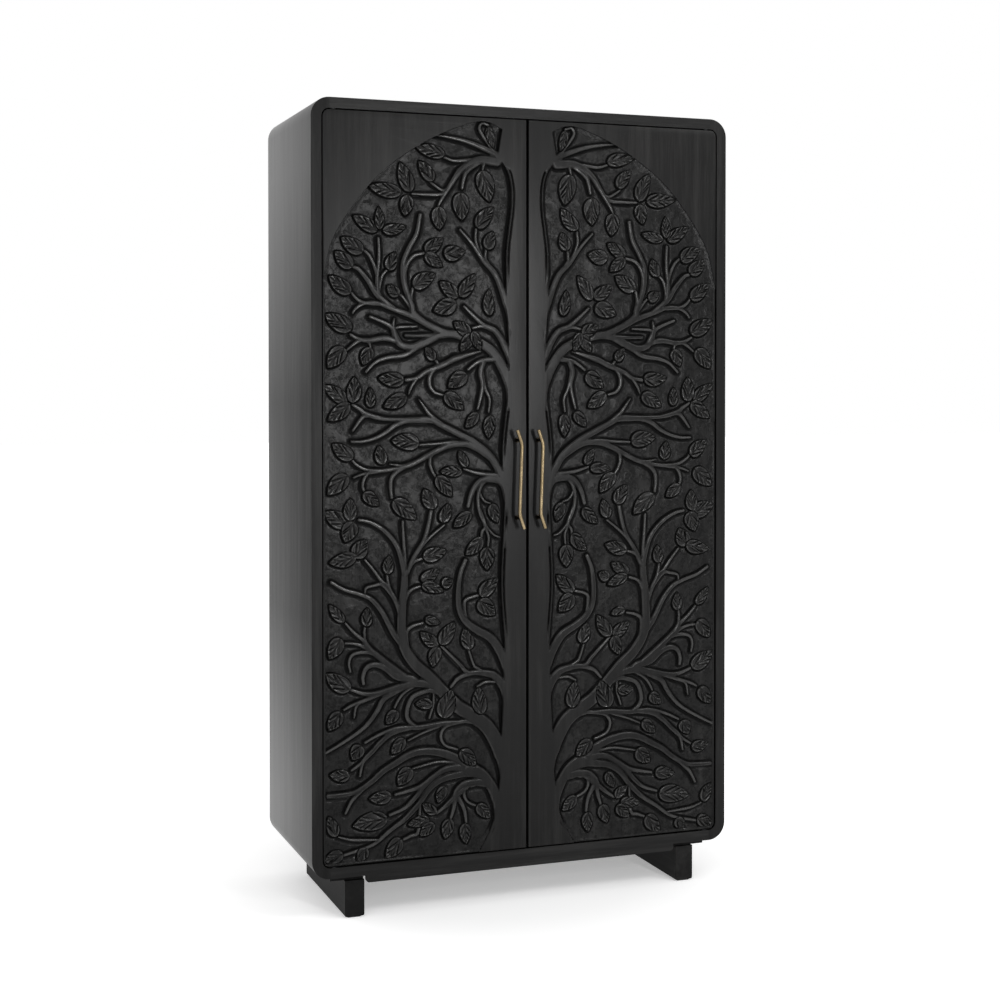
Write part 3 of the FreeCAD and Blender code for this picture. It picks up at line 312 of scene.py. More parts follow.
def metal(name, stops, gloss, wander, blotch):
    finish = Finish(name)
    patches = finish.noise(finish.place(), scale=blotch, detail=5.0)
    scratches = finish.noise(finish.place(), scale=SCRATCHES, detail=2.0)
    finish.colour = finish.ramp(patches, stops)
    finish.set(Base_Color=finish.colour, Metallic=1.0)
    finish.set(Roughness=gloss - wander / 2 + wander * patches + SCRATCH_GLOSS * scratches)
    finish.relief(scratches, depth=0.05 * MM, strength=0.2)
    return finish


def aged_brass():
    finish = metal("aged_brass", BRASS_STOPS, gloss=0.24, wander=0.08, blotch=18.0)
    front_of_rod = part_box("left_pull")[0].y
    # The rod's back and the posts are painted nearly black, partly tarnish and partly painted shade.
    behind = finish.between(finish.along("Y"), *(front_of_rod + depth for depth in DARK_BACK_DEPTHS))
    finish.set(Base_Color=finish.mix(behind, finish.colour, TARNISH_AND_SHADE))
    return finish


brass = aged_brass()
black_steel = metal("blackened_steel", two_tones((0.012, 0.012, 0.0125), (0.03, 0.03, 0.031)),
                    gloss=0.5, wander=0.2, blotch=160.0)
steel = metal("zinc_steel", two_tones((0.42, 0.42, 0.41), (0.60, 0.60, 0.58)),
              gloss=0.38, wander=0.2, blotch=160.0)
print("brass and both steels are ready")


# %% Felt, plastic and ferrite
def matt(name, dark, pale, fineness, depth, gloss):
    finish = Finish(name)
    grit = finish.noise(finish.place(), scale=fineness, detail=4.0)
    finish.set(Base_Color=finish.ramp(grit, two_tones(dark, pale)), Roughness=gloss - 0.1 + 0.2 * grit)
    finish.relief(grit, depth=depth, strength=0.5)
    return finish


felt = matt("felt", (0.022, 0.022, 0.022), (0.055, 0.055, 0.055), 1400.0, 0.6 * MM, 0.92)
plastic = matt("catch_plastic", (0.018, 0.018, 0.018), (0.03, 0.03, 0.03), 700.0, 0.1 * MM, 0.5)
ferrite = matt("ferrite", (0.03, 0.03, 0.033), (0.06, 0.06, 0.064), 1100.0, 0.1 * MM, 0.55)
print("felt, plastic and ferrite are ready")

# %% [markdown]
# ## The carver's drawing
#
# A carver squares up the drawing on the board and cuts to it. The drawing here is squared the same
# way: 100 columns from a door's outer edge to its meeting edge and 350 rows up from its foot, about
# 5 mm each. A bough is a line of a few points with its width at both ends. Splines turn these
# points into flowing lines, so a handful is enough.
#
# First the frame of the picture: an arch above, and the wavy edge of the trunk.

# %% Arch and trunk
COLUMNS = 100
ROWS = 350
ARCH = ((0, 271), (6, 293), (26, 320), (49, 337), (70, 346.5), (80, 348), (87.5, 345))
TRUNK = ((87.5, 345), (86.2, 338), (85.6, 332), (87.6, 329), (89.9, 325.5), (91.5, 321), (92.2, 315),
         (92, 307), (90.7, 297), (89.5, 286), (89.5, 268), (90.5, 248), (91, 226), (87.5, 192),
         (88.7, 166), (87, 128), (89, 94), (87.5, 60), (86, 30), (83, 14), (77, 2), (73, -3))
print(f"arch of {len(ARCH)} points, trunk of {len(TRUNK)}")

# %% [markdown]
# The boughs, from the crown down. Each row is the width at the start, the width at the end, and the
# points from the trunk outwards.

# %% Crown boughs
CROWN = (
    (3.6, 0.6, ((88.5, 331), (80.5, 334.8), (70, 338.4), (60, 340.1), (53.3, 340.4))),
    (1.8, 1.4, ((86, 330), (82, 336.5), (78, 341.5), (76.3, 345), (77.8, 347.4), (80.8, 346.6))),
    (4.5, 1.0, ((85.3, 329.7), (75.3, 329.7), (67.3, 325), (62, 317.6), (57.3, 310.2),
                (55.7, 306.9))),
    (2.0, 1.2, ((72, 329.7), (64, 329), (59, 330.3))),
    (1.6, 1.0, ((59.3, 315), (54, 317), (51.3, 319.3))),
    (2.0, 1.4, ((58.7, 313.6), (51.3, 312.6), (43.3, 312.6))),
    (2.5, 1.5, ((70.7, 325), (68.7, 321), (67.7, 316.3))),
    (1.6, 1.2, ((79.5, 329), (78.3, 326.8), (78, 325))),
    (2.5, 1.5, ((27, 265), (26, 269.3), (26.3, 276), (27, 282.7), (26.7, 291.4))),
    (3.5, 2.0, ((44.3, 256), (42.7, 260.6), (39.3, 270.7), (38.7, 279.4), (41.3, 286.8),
                (45.3, 294.2), (47, 302.8))),
    (2.5, 1.5, ((39.3, 274), (40.7, 280), (44, 283.7), (49, 285.1))),
    (2.0, 1.4, ((42.7, 260), (43, 267), (44.7, 270.5))),
    (1.6, 1.2, ((28, 272.7), (30, 276), (31.7, 277))),
    (3.0, 1.6, ((26.7, 264.6), (22, 271.3), (17.3, 276.7), (14.3, 278))),
    (2.0, 1.3, ((26, 274.7), (22.7, 282.7), (20, 285.4))),
    (2.0, 1.2, ((20, 261.3), (16, 263.3), (13.7, 266))),
    (1.6, 1.2, ((39.3, 263.3), (37.3, 265.3))),
    (1.8, 1.4, ((79.3, 281.4), (76.7, 285.4), (74.5, 291.5), (74.7, 297))),
    (1.8, 1.3, ((80.3, 281.4), (79.3, 283.7), (79.7, 287.8))),
    (3.5, 1.2, ((89.7, 266.6), (84.7, 275.4), (78.7, 282), (72.7, 290.1), (66.7, 296.5))),
    (3.5, 1.3, ((89.7, 244.5), (84.7, 248.6), (78.7, 251.6), (73.3, 256), (68.7, 260.3))),
)
print(f"{len(CROWN)} crown boughs")

# %% Upper boughs
UPPER = (
    (3.0, 1.5, ((31, 244.9), (22, 243.9), (17.3, 244.5), (13.3, 246.5))),
    (2.0, 1.0, ((18, 243.9), (11.3, 239.2))),
    (1.5, 1.2, ((22, 242.9), (22.8, 240.5))),
    (5.0, 1.2, ((90.7, 229.8), (84, 237.8), (76.7, 243.2), (66.7, 246.6), (58.7, 248),
                (50.7, 251.6), (42.7, 255.6), (34, 258.6), (26.7, 261.2), (20.7, 261.2),
                (16.3, 259), (14.3, 256.6))),
    (2.5, 1.6, ((60, 246.9), (50.7, 246.4), (40, 246.4))),
    (3.5, 1.4, ((58.7, 246.9), (50.7, 244.5), (45.3, 240.8), (39.3, 237.2), (31.3, 236),
                (25.3, 233.8), (20.7, 229.4))),
    (4.0, 1.5, ((48.7, 242.9), (42.7, 241), (37.3, 242.2), (34.7, 245.9), (33.3, 249.9),
                (29.3, 252.3), (22.7, 254.9))),
    (2.5, 0.8, ((34, 249.2), (34.3, 254.3))),
    (1.6, 1.2, ((36.7, 250.2), (45.3, 250.6))),
    (2.0, 1.4, ((78.7, 250.9), (73, 250.2))),
    (1.6, 1.2, ((55.5, 233.5), (54.3, 234.8))),
    (3.5, 1.5, ((91, 229.4), (86, 234.5), (80, 235.1), (75.3, 233.8), (70.7, 230.5))),
    (3.0, 1.3, ((78.3, 234), (77, 229), (78, 223), (76.7, 216.4), (75.5, 211.8))),
    (1.8, 1.2, ((79, 222.4), (81.5, 216.4), (81, 210.3))),
    (1.0, 3.0, ((77, 239.2), (71, 237.6), (64, 235.5))),
    (3.0, 1.8, ((64, 235.5), (58, 232.5), (50, 229.4), (45.3, 226.4), (40, 225.5))),
    (2.0, 1.0, ((46.7, 227.4), (42.7, 222.4), (41.3, 219))),
    (2.5, 1.4, ((55.3, 231.8), (52, 227.8), (51.7, 223.1), (54, 219.7), (58, 218.4))),
    (2.5, 1.5, ((20.7, 209.7), (18, 211.7), (14.3, 214))),
    (4.0, 1.6, ((88.3, 181), (82.7, 188.2), (74, 195.6), (65.3, 200.3), (57.3, 204.3),
                (51.3, 207), (44, 207), (35.3, 207), (26.7, 207.6), (20.7, 209.3))),
    (2.2, 0.8, ((52.7, 208.3), (49.3, 212.3), (46.3, 216.4))),
    (3.0, 1.3, ((46, 206.6), (40, 206.3), (34.7, 204.3), (30, 200.9), (24.7, 198.3),
                (18.7, 196.9), (13.7, 196.9))),
    (2.2, 1.2, ((21.3, 209), (18, 207), (16, 204.3), (14.3, 202))),
)
print(f"{len(UPPER)} upper boughs")

# %% Middle boughs
MIDDLE = (
    (3.5, 1.3, ((78.7, 190.9), (70.7, 194.9), (62.7, 194.9), (56, 192.6), (50, 189.5),
                (42.7, 185.9), (36, 184.2), (28, 183.2), (20.7, 183.8), (16, 186.2), (14, 188.2))),
    (2.0, 1.2, ((65.3, 195.9), (55.3, 195.4), (46.7, 195))),
    (1.6, 0.8, ((40, 185.5), (32, 186.2))),
    (2.0, 1.0, ((26, 182.8), (19.3, 181.8), (14.7, 180.2))),
    (2.0, 1.3, ((22, 182.5), (19.7, 179.5), (19, 176), (20, 173.3))),
    (2.5, 1.6, ((37.3, 183.8), (33.3, 180.1), (32.5, 176), (33, 170.6))),
    (2.5, 1.2, ((83.3, 180.1), (75.3, 181.2), (68.7, 183.2))),
    (2.0, 1.3, ((53.3, 190.9), (51.7, 186.9), (52.7, 182.8), (54.7, 179.5))),
    (4.0, 2.0, ((88, 180.5), (80, 178.3), (75.3, 176), (72.3, 171.3), (70.7, 165.6))),
    (2.5, 1.0, ((83, 179.3), (78, 176.4), (75.8, 170.5), (76.3, 163.2), (79.3, 156.5),
                (83.3, 151.8), (86.7, 150.2))),
    (1.5, 1.0, ((76.4, 174.5), (77.2, 170.2), (79.2, 167.6), (82, 166.6))),
    (1.8, 1.3, ((79.3, 156.5), (77.7, 153.2), (77.3, 150.5))),
    (1.6, 1.2, ((79.7, 154.5), (81, 150.5), (80.7, 146.1))),
    (2.0, 1.4, ((68.7, 119), (70.7, 121.6), (76.3, 123))),
    (4.5, 2.0, ((89.7, 92.8), (83.3, 100.9), (75.3, 106.2), (70, 110.2), (66.7, 115.6),
                (65.7, 123), (66.7, 133), (69.3, 139.8))),
    (2.0, 1.4, ((40, 123.7), (42.7, 127), (46.7, 128.4))),
    (2.2, 1.4, ((40, 106.2), (42.7, 109.6), (48, 111))),
    (2.2, 1.4, ((70.7, 86.3), (66.7, 90.2), (62, 94.8), (57.3, 99.5))),
    (1.6, 1.2, ((75.3, 88), (73.3, 90.1), (71, 96.8))),
    (7.0, 3.5, ((87.3, 50.4), (80.7, 59.1), (72.7, 65.5), (65.3, 70.5), (58.7, 77.2),
                (51.3, 85.3), (44, 92.1), (39, 100.2), (37.7, 108.9), (38.1, 119.6), (39, 127.7),
                (39.3, 133))),
    (3.0, 1.6, ((39.3, 133), (37.5, 142.4), (34.7, 149.1), (29.3, 155.2), (22.7, 159.2),
                (17.3, 160.5))),
    (2.2, 1.4, ((39.3, 133), (39.3, 142.4), (38.7, 151.2), (38.3, 159.2))),
    (2.5, 2.0, ((40, 134.4), (44, 142.4), (48.7, 149.8), (51, 157.2), (52.3, 163.9))),
    (2.0, 1.2, ((45.3, 144.4), (50.7, 150.5), (58.7, 156.9))),
    (2.5, 1.4, ((40.7, 135.7), (43.3, 139.8), (47.7, 141.4))),
    (2.5, 1.2, ((36.3, 118.3), (31.3, 128.4), (28, 131.7), (24, 137.1), (20, 141.8))),
    (2.0, 1.0, ((28.7, 129.7), (24.7, 129.7), (20.7, 128.7), (20, 126.5))),
    (2.0, 1.2, ((32, 127.7), (31, 131.7), (30.7, 134.4))),
    (3.0, 1.6, ((34.7, 105.5), (32, 110.2), (28, 117.6), (23, 123.3), (17.3, 126), (10, 128.4),
                (4, 132))),
)
print(f"{len(MIDDLE)} middle boughs")

# %% Lower boughs
LOWER = (
    (3.5, 1.2, ((34, 90.1), (26, 96.8), (20.7, 101.5), (19.3, 104.2), (14.7, 108.2),
                (10.7, 112.6))),
    (1.8, 1.2, ((20.7, 102.9), (19.7, 107.6), (20, 110.6))),
    (2.0, 1.2, ((20, 100.9), (15.3, 102.9), (10, 103.5))),
    (2.2, 1.2, ((24.7, 97.5), (19, 98.8), (14, 97.8), (12.3, 94.2), (13, 90))),
    (4.0, 1.6, ((42.7, 84.6), (35.3, 86.6), (30, 90.7), (24.7, 92.7), (20.7, 91.3), (19, 87.3),
                (19.3, 84))),
    (4.0, 1.6, ((46.7, 82.6), (37.3, 81.6), (26.7, 79.3), (20, 79.3), (13.3, 81.6))),
    (2.5, 1.2, ((28.7, 79.3), (18.7, 75.9), (13.3, 74.2), (10, 72.5))),
    (1.6, 1.0, ((16.7, 74.9), (14.7, 68.5))),
    (3.0, 1.4, ((33, 78.6), (28.7, 75.9), (26, 71.2), (21.3, 65.2), (16, 61.1), (8, 56.5),
                (1.3, 53.1))),
    (1.6, 1.2, ((39.3, 78.9), (36, 75.2), (34.3, 71.9))),
    (2.5, 1.8, ((53.3, 78.6), (48, 78.3), (42.7, 75.9), (40.3, 69.9), (41.3, 65.2), (46, 61.8),
                (51.3, 61.8), (58, 62.8))),
    (1.5, 1.2, ((53.3, 72.6), (51.3, 65.9))),
    (3.0, 1.3, ((58, 62.8), (46, 61.8), (36, 62.2), (27, 59.8), (20, 56.5))),
    (3.0, 1.3, ((34, 60.5), (28, 56.5), (23, 51.5), (18, 47), (13.5, 44))),
    (2.0, 1.2, ((19.5, 48.5), (17.5, 41))),
    (1.6, 1.0, ((57, 62), (48, 59), (41, 56))),
    (2.0, 1.4, ((70, 63), (64, 62.5), (59, 61), (57, 57), (59, 52.5), (65, 50))),
    (4.5, 1.5, ((89.7, 79.3), (84.7, 83.3), (78.7, 85.6), (72.7, 86), (66, 84), (62, 80))),
    (1.5, 1.2, ((80, 81.3), (75.3, 79.3))),
    (5.0, 2.0, ((84.7, 29.7), (78.7, 36.3), (70.7, 41.7), (64.7, 45.7), (56.7, 49.1), (48, 50.4),
                (41.3, 49.1), (34.7, 45.7), (28.7, 42.4), (22.7, 37.7), (15.3, 33.7), (8, 33),
                (2.3, 33))),
    (2.0, 1.4, ((15.3, 31.6), (12.7, 28.3), (10.7, 24.3))),
    (4.0, 1.5, ((70.7, 39.7), (64.3, 41.4), (58.7, 40.7), (53.3, 37.7), (46.7, 33.7), (40, 32),
                (34.7, 31))),
    (3.0, 1.5, ((49.3, 34.3), (44.7, 29), (39.3, 24.3), (32, 21.6))),
    (1.6, 1.0, ((64.7, 43.4), (56, 44.8), (47.3, 43.4), (43.3, 42.6))),
    (4.0, 1.5, ((72, 38), (64, 37.7), (57.3, 36.3), (51.3, 32.3), (46.7, 26.3), (40, 19.6),
                (32, 14.2), (23.3, 8.2), (10, 4.8))),
    (1.6, 1.0, ((16.7, 11.2), (12, 11.9), (7.3, 13.5))),
    (2.0, 1.4, ((46, 12.9), (42, 10.8), (38.7, 9.5))),
    (4.0, 2.0, ((78, 33), (70, 33.5), (65.5, 31), (63.5, 27.5))),
    (2.0, 1.3, ((73.3, 32.3), (69.3, 31.6), (68.7, 27.6), (70.7, 24.3), (75.3, 22))),
    (3.0, 1.5, ((66, 29), (60, 24), (55, 20.5))),
    (2.5, 1.5, ((64.7, 27.6), (63.3, 21.6), (62, 17.6))),
    (2.5, 1.5, ((66, 26.3), (68.7, 20.9), (69.7, 14.9))),
)
BOUGHS = CROWN + UPPER + MIDDLE + LOWER
print(f"{len(LOWER)} lower boughs, {len(BOUGHS)} in all")

# %% [markdown]
# The leaves: the middle of each on the squared drawing, the way its tip points in degrees
# (0 is towards the meeting edge, 90 is up), its length and its width in squares.

# %% Leaves
CROWN_LEAVES = (
    (82, 341, -72, 10.5, 4.6), (51.9, 333.2, 167, 14.8, 6.5), (50, 324, 125, 11.5, 6.3),
    (39.5, 320.6, 115, 14.7, 7.3), (30, 313.9, 175, 16, 7), (40.5, 306.9, 262, 10, 6.7),
    (56, 301.5, -85, 11, 7.5), (20.5, 298.2, 149, 13.5, 6.3), (27.3, 300.8, 90, 10.7, 4.7),
    (34.7, 296.1, 15, 12, 5.3), (54, 289.1, 33, 11.3, 6.3), (53.5, 282.1, -36, 10.3, 6),
    (63.7, 285.4, 5, 10.7, 7.5), (49, 272.7, 30, 12.7, 7.5), (33.3, 281, 70, 9.3, 6),
    (14, 288.1, 150, 12.3, 7.3), (9.9, 281.4, 140, 11, 7), (8.3, 269.5, 145, 13, 7),
    (33.5, 267, 145, 7.3, 5.5), (79.7, 317.6, -77, 15.3, 9), (67.2, 307.5, -90, 13.3, 8.5),
    (79.2, 303.2, 47, 13.3, 7), (81.5, 292.3, 73, 9.3, 6.3), (61, 268.5, 141, 11.7, 6.5),
    (70.5, 270.3, 57, 13.7, 6.5), (59.3, 259.6, 197, 12, 8), (81, 262.5, 95, 12.7, 5.6),
)
UPPER_LEAVES = (
    (7.3, 252.3, 153, 14.3, 8), (6.1, 236.2, 230, 12.3, 8), (21, 236.5, 243, 9, 6.3),
    (67.7, 250.2, 150, 10, 6.3), (69.7, 243.2, 237, 10, 6), (74.8, 243.9, -70, 10, 5),
    (52, 238, 125, 7.7, 5), (33, 225.8, 178, 12.7, 7), (65.3, 225.4, 218, 11.3, 7.5),
    (64, 215.4, -36, 12, 7), (34.7, 215.4, 207, 12.3, 7), (22.9, 217.4, 88, 9.3, 5),
    (6.3, 219.4, 145, 13.7, 6.5), (14.8, 220.9, 87, 12.3, 7), (8, 210.5, 215, 13, 7),
    (72.7, 206.3, 232, 9.3, 5.5), (81.3, 203.3, -95, 11, 6), (39.5, 196.9, 174, 13.7, 8),
    (9.2, 192.2, 143, 12, 7), (27.5, 190.5, 100, 9.3, 6), (62.3, 182.5, 180, 11, 5.3),
    (67.9, 188.2, 118, 9, 4.7), (58.7, 175.6, -50, 12.3, 7), (6.7, 177, 220, 13, 8),
    (23.3, 170.3, -38, 9.7, 6), (39.3, 164.7, -38, 14.7, 8), (51.2, 169.6, 118, 11, 7),
    (59.7, 162.7, 72, 9.7, 6), (67.9, 159.1, 221, 11, 6), (83.7, 161.6, -72, 9.7, 6),
)
LOWER_LEAVES = (
    (73.9, 146.1, 223, 11.3, 6.5), (80.3, 140.3, -90, 11, 7.5), (81, 126.7, 39, 12.3, 7),
    (80.3, 117, -45, 11, 8), (54.1, 143.2, 14, 12.3, 7), (51.9, 133.2, 31, 10.7, 6),
    (53, 127.4, -18, 11.7, 5.5), (60.3, 129.8, 25, 6.3, 5.5), (52.8, 112, -15, 8, 4.5),
    (51.2, 103.2, 143, 11.3, 6), (60.5, 105.4, 56, 12.7, 7), (53.7, 95, 253, 10, 6.5),
    (70.3, 102.2, 110, 10.7, 6.5), (6.3, 161.2, 155, 13, 8), (13, 165.6, 85, 10.7, 6.5),
    (12.3, 155.1, 250, 10.3, 8), (31.2, 139.4, 88, 9, 5.5), (17.7, 147.1, 60, 10, 8),
    (9.3, 141.8, 193, 13.3, 7), (20.7, 115.3, 92, 9, 5.5), (6.3, 117.6, 130, 11, 5),
    (5.7, 101.2, 237, 11, 7.5), (6.7, 85.6, 147, 14.3, 8), (5.3, 67.5, 233, 10.3, 7),
    (32.8, 67.5, 225, 8, 6), (48.5, 72.9, 173, 8.7, 5.5), (60, 71.9, 70, 14.3, 9),
    (76.3, 72.6, 94, 13.3, 7.5), (71, 45.7, -45, 11, 7), (16, 52.1, 240, 8, 7),
    (36, 53.8, 225, 9.5, 6), (7.9, 42.2, 170, 9.7, 6), (27.5, 30.2, 183, 11, 6.5),
    (22.3, 19.2, 190, 17, 9), (39.2, 39.4, 226, 10, 7.5), (4.3, 18.9, 115, 10.3, 6),
    (5, 4.1, 200, 9.3, 6.5), (18.7, 4.1, 240, 7.3, 6), (33.9, 5.5, 230, 11.3, 7.5),
    (46, 17.2, 190, 11, 5.5), (50, 12.9, 220, 9, 6), (51, 22.9, 145, 8.7, 5),
    (57, 29.3, 245, 8.7, 5.5), (60.3, 12.5, 256, 9.7, 6.5), (69.2, 9.5, -86, 10, 6),
    (78.5, 19.2, -45, 9.7, 6),
)
LEAVES = CROWN_LEAVES + UPPER_LEAVES + LOWER_LEAVES
print(f"{len(LEAVES)} leaves")

# %% [markdown]
# ## Cutting the relief
#
# A relief is a board with a height at each point, so it can be worked out as an array: one number
# for every 1.5 mm of the door. Sculpting by hand, or a solid for each leaf, would give the same
# shapes with far more work. The door's own size comes from the frame.
#
# The array's rows and columns crowd together at the door's edges, where a narrow arris softens the
# corner, and each row is drawn in where the door's outer corners are round.

# %% The carver's board
FINE = 1.5               # the array's spacing, in millimetres
ARRIS = 0.9              # the softened edge of the door
CORNER = 16.5            # the round of its outer corners
PLATE_SHOW = 0.3         # the hinge plates stand out of the door's ends by this much
SPACING = FINE
door_low, door_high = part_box("left_door")
WIDTH = (door_high.x - door_low.x) / MM
HEIGHT = (door_high.z - door_low.z) / MM - 2 * PLATE_SHOW
OUTER = max(abs(door_low.x), abs(door_high.x))     # from the middle to the door's outer edge, in metres


def ruled(length):
    """Places along one side of the board."""
    count = round((length - 2 * ARRIS) / SPACING)
    inner = np.linspace(ARRIS, length - ARRIS, count + 1)
    return np.concatenate(([0.0], inner, [length]))


across_line, up_line = ruled(WIDTH), ruled(HEIGHT)
ACROSS, UP = np.meshgrid(across_line, up_line)
into_corner = np.maximum(0.0, CORNER - np.minimum(UP, HEIGHT - UP))
drawn_in = CORNER - np.sqrt(CORNER**2 - into_corner**2)
ACROSS = drawn_in + ACROSS * (WIDTH - drawn_in) / WIDTH
print(f"board of {ACROSS.shape[1]} by {ACROSS.shape[0]} points, {WIDTH:.1f} by {HEIGHT:.1f} mm")

# %% [markdown]
# Every shape is cut from its distance: how far a point lies outside a bough or leaf, or inside it
# where the number is negative. From the distance follow the rounded shoulder of a bough, the deep
# cut beside it, and the ground that swells up again between the shapes.

# %% Lines and distances
SQUARE = np.array((WIDTH / COLUMNS, HEIGHT / ROWS))
REACH = 26.0             # beyond this distance a shape leaves the ground alone
FAR_OFF = 1e3            # farther than any shape
SPLINE_STEPS = 5
TINY = 1e-9


def flowing(points):
    """A smooth line through given points: a Catmull-Rom spline, in millimetres."""
    dots = np.array(points, float) * SQUARE
    padded = np.vstack((2 * dots[0] - dots[1], dots, 2 * dots[-1] - dots[-2]))
    share = np.arange(SPLINE_STEPS)[:, None] / SPLINE_STEPS
    line = []
    for before, start, end, after in zip(padded, padded[1:], padded[2:], padded[3:]):
        bend = 2 * before - 5 * start + 4 * end - after
        twist = 3 * (start - end) + after - before
        line.append(start + 0.5 * share * (end - before + share * (bend + share * twist)))
    return np.vstack((*line, dots[-1:]))


def window(points, margin=REACH):
    """The part of the board around some points."""
    low, high = points.min(0) - margin, points.max(0) + margin
    columns = slice(*np.searchsorted(across_line, (low[0], high[0])))
    rows = slice(*np.searchsorted(up_line, (low[1], high[1])))
    return rows, columns


def distance_to(line, radii, part=(slice(None), slice(None))):
    """How far the board's points lie outside a line of changing thickness, and that thickness."""
    across, up = ACROSS[part], UP[part]
    nearest = np.full(across.shape, np.inf)
    thickness = np.zeros(across.shape)
    for start, end, first, last in zip(line, line[1:], radii, radii[1:]):
        way = end - start
        share = ((across - start[0]) * way[0] + (up - start[1]) * way[1]) / max(way @ way, TINY)
        share = np.clip(share, 0, 1)
        radius = first + (last - first) * share
        gap = np.hypot(across - start[0] - share * way[0], up - start[1] - share * way[1]) - radius
        closer = gap < nearest
        nearest[closer] = gap[closer]
        thickness[closer] = radius[closer]
    return nearest, thickness


def eased(value, low, high):
    """0 below low, 1 above high and a smooth rise between."""
    share = np.clip((value - low) / (high - low), 0, 1)
    return share * share * (3 - 2 * share)


def shoulder(inside, edge):
    """A quarter-round edge: 0 at the outline and 1 where it is one edge width inside."""
    share = np.clip(inside / edge, 0, 1)
    return np.sqrt(1 - (1 - share)**2)


print("lines, distances and shoulders are ready")

# %% [markdown]
# The trunk and its boughs come first. Two boughs that meet are joined by a web of wood, because a
# gouge can't reach into the crotch. Taking the nearer distance would leave a sharp notch there. A
# blend of both rounds it. A bough that springs from the trunk gets a root that runs up along the
# trunk's edge and thins out downwards, so the one grows out of the other. A bough that branches off
# another one gets a shorter root in the same way, which starts further down that bough.

# %% Boughs on the board
DEEP = 8.0               # the deepest cuts, below the door's face
TRUNK_EDGE = 2.6         # the round of the trunk's edge
WEB = 4.0                # boughs nearer to each other than this are joined by a web
WEB_EDGE = 6.0           # and this is the round of the web
BROAD = 1.12             # a bough's foot is this much broader than the drawn line of its top
ROUND = 0.75             # the round of a bough's shoulders, as a share of its radius,
ROUND_LIMITS = (2.4, 6.5)     # and its least and most
TWIG_STAND = 6.2         # how high a thin twig stands above the deepest cut
BOUGH_STAND = 7.8        # and a thick bough
THICK = 10.0             # a bough of this radius counts as thick
SPRING = 16.0            # a bough that starts this near the trunk springs from it,
SINK = 20.0              # starts this much lower than drawn, so the crotch above it is long and narrow,
ROOT = 48.0              # has a root that runs this far down the trunk,
ROOT_DEPTH = 5.0         # ends this far inside it
ROOT_THIN = 0.3          # and thins to this share of the bough's start
ROOTS_END = 300          # above this row the trunk ends in its boughs, which need no roots
BRANCH = 40.0            # a bough that starts this near another one's edge may branch off it,
BRANCH_ROOT = 45.0       # with a root that runs this far down that bough
BRANCH_THIN = 0.55       # and thins to this share
LEAST_ROOT = 1.0         # a root shorter than this is left out
BRANCH_TURN = math.cos(math.radians(75))     # the sharpest turn between a root and its bough
TRUNK_RUN = 14.0         # a bough rises to the trunk's face over this distance

arch_line, trunk_line = flowing(ARCH), flowing(TRUNK)
trunk_up, trunk_across = trunk_line[::-1, 1], trunk_line[::-1, 0]
under_arch = UP < np.interp(ACROSS, arch_line[:, 0], arch_line[:, 1])
beside_trunk = ACROSS < np.interp(UP, trunk_up, trunk_across)
field = under_arch & beside_trunk
from_arch, _ = distance_to(arch_line, np.zeros(len(arch_line)))
from_trunk, _ = distance_to(trunk_line, np.zeros(len(trunk_line)))


def webbed(first, second):
    share = np.clip(0.5 + 0.5 * (second - first) / WEB, 0, 1)
    return second + (first - second) * share - WEB * share * (1 - share)


def as_drawn(start_width, end_width, points):
    """A bough's line and its radii, in millimetres."""
    line = flowing(points)
    return line, np.linspace(start_width, end_width, len(line)) * BROAD * SQUARE[0] / 2


drawn_boughs = [as_drawn(*row) for row in BOUGHS]


def length_of(way):
    return np.hypot(way[..., 0], way[..., 1])


def from_under_leaf(radii):
    """A bough that grows thicker comes from under a leaf, and not from another bough."""
    return radii[0] < radii[-1]


def branch_root(line):
    """A place down the bough that this one branches off, if there is one."""
    found = []
    heading = line[SPLINE_STEPS] - line[0]
    for other, radii in drawn_boughs:
        gaps = length_of(other - line[0]) - radii
        nearest = int(gaps.argmin())
        if from_under_leaf(radii) and nearest < len(other) - 1:
            continue
        walked = np.cumsum(length_of(np.diff(other[nearest::-1], axis=0)))
        root = other[max(nearest - 1 - np.searchsorted(walked, BRANCH_ROOT), 0)]
        run = line[0] - root
        straight = run @ heading > BRANCH_TURN * length_of(run) * length_of(heading)
        if gaps[nearest] < BRANCH and length_of(run) > LEAST_ROOT and straight:
            found.append((gaps[nearest], tuple(root)))
    return np.array(min(found)[1]) if found else None


def bough(number):
    """A bough's line and its radii, with a root where it springs from the trunk or another bough."""
    line, radii = drawn_boughs[number]
    points = BOUGHS[number][2]
    thin = ROOT_THIN
    if np.interp(line[0, 1], trunk_up, trunk_across) - line[0, 0] > SPRING:
        root = None if from_under_leaf(radii) else branch_root(line)
        thin = BRANCH_THIN
    elif points[0][1] > ROOTS_END:
        root = None
    else:
        points = (points[0] - np.array((0, SINK)) / SQUARE, *points[1:])
        foot_up = line[0, 1] - SINK - ROOT
        root = np.array((np.interp(foot_up, trunk_up, trunk_across) + ROOT_DEPTH, foot_up))
    if root is None:
        return line, radii
    thinning = np.linspace(thin, 1, SPLINE_STEPS, endpoint=False)
    return flowing((root / SQUARE, *points)), np.concatenate((thinning * radii[0], radii))


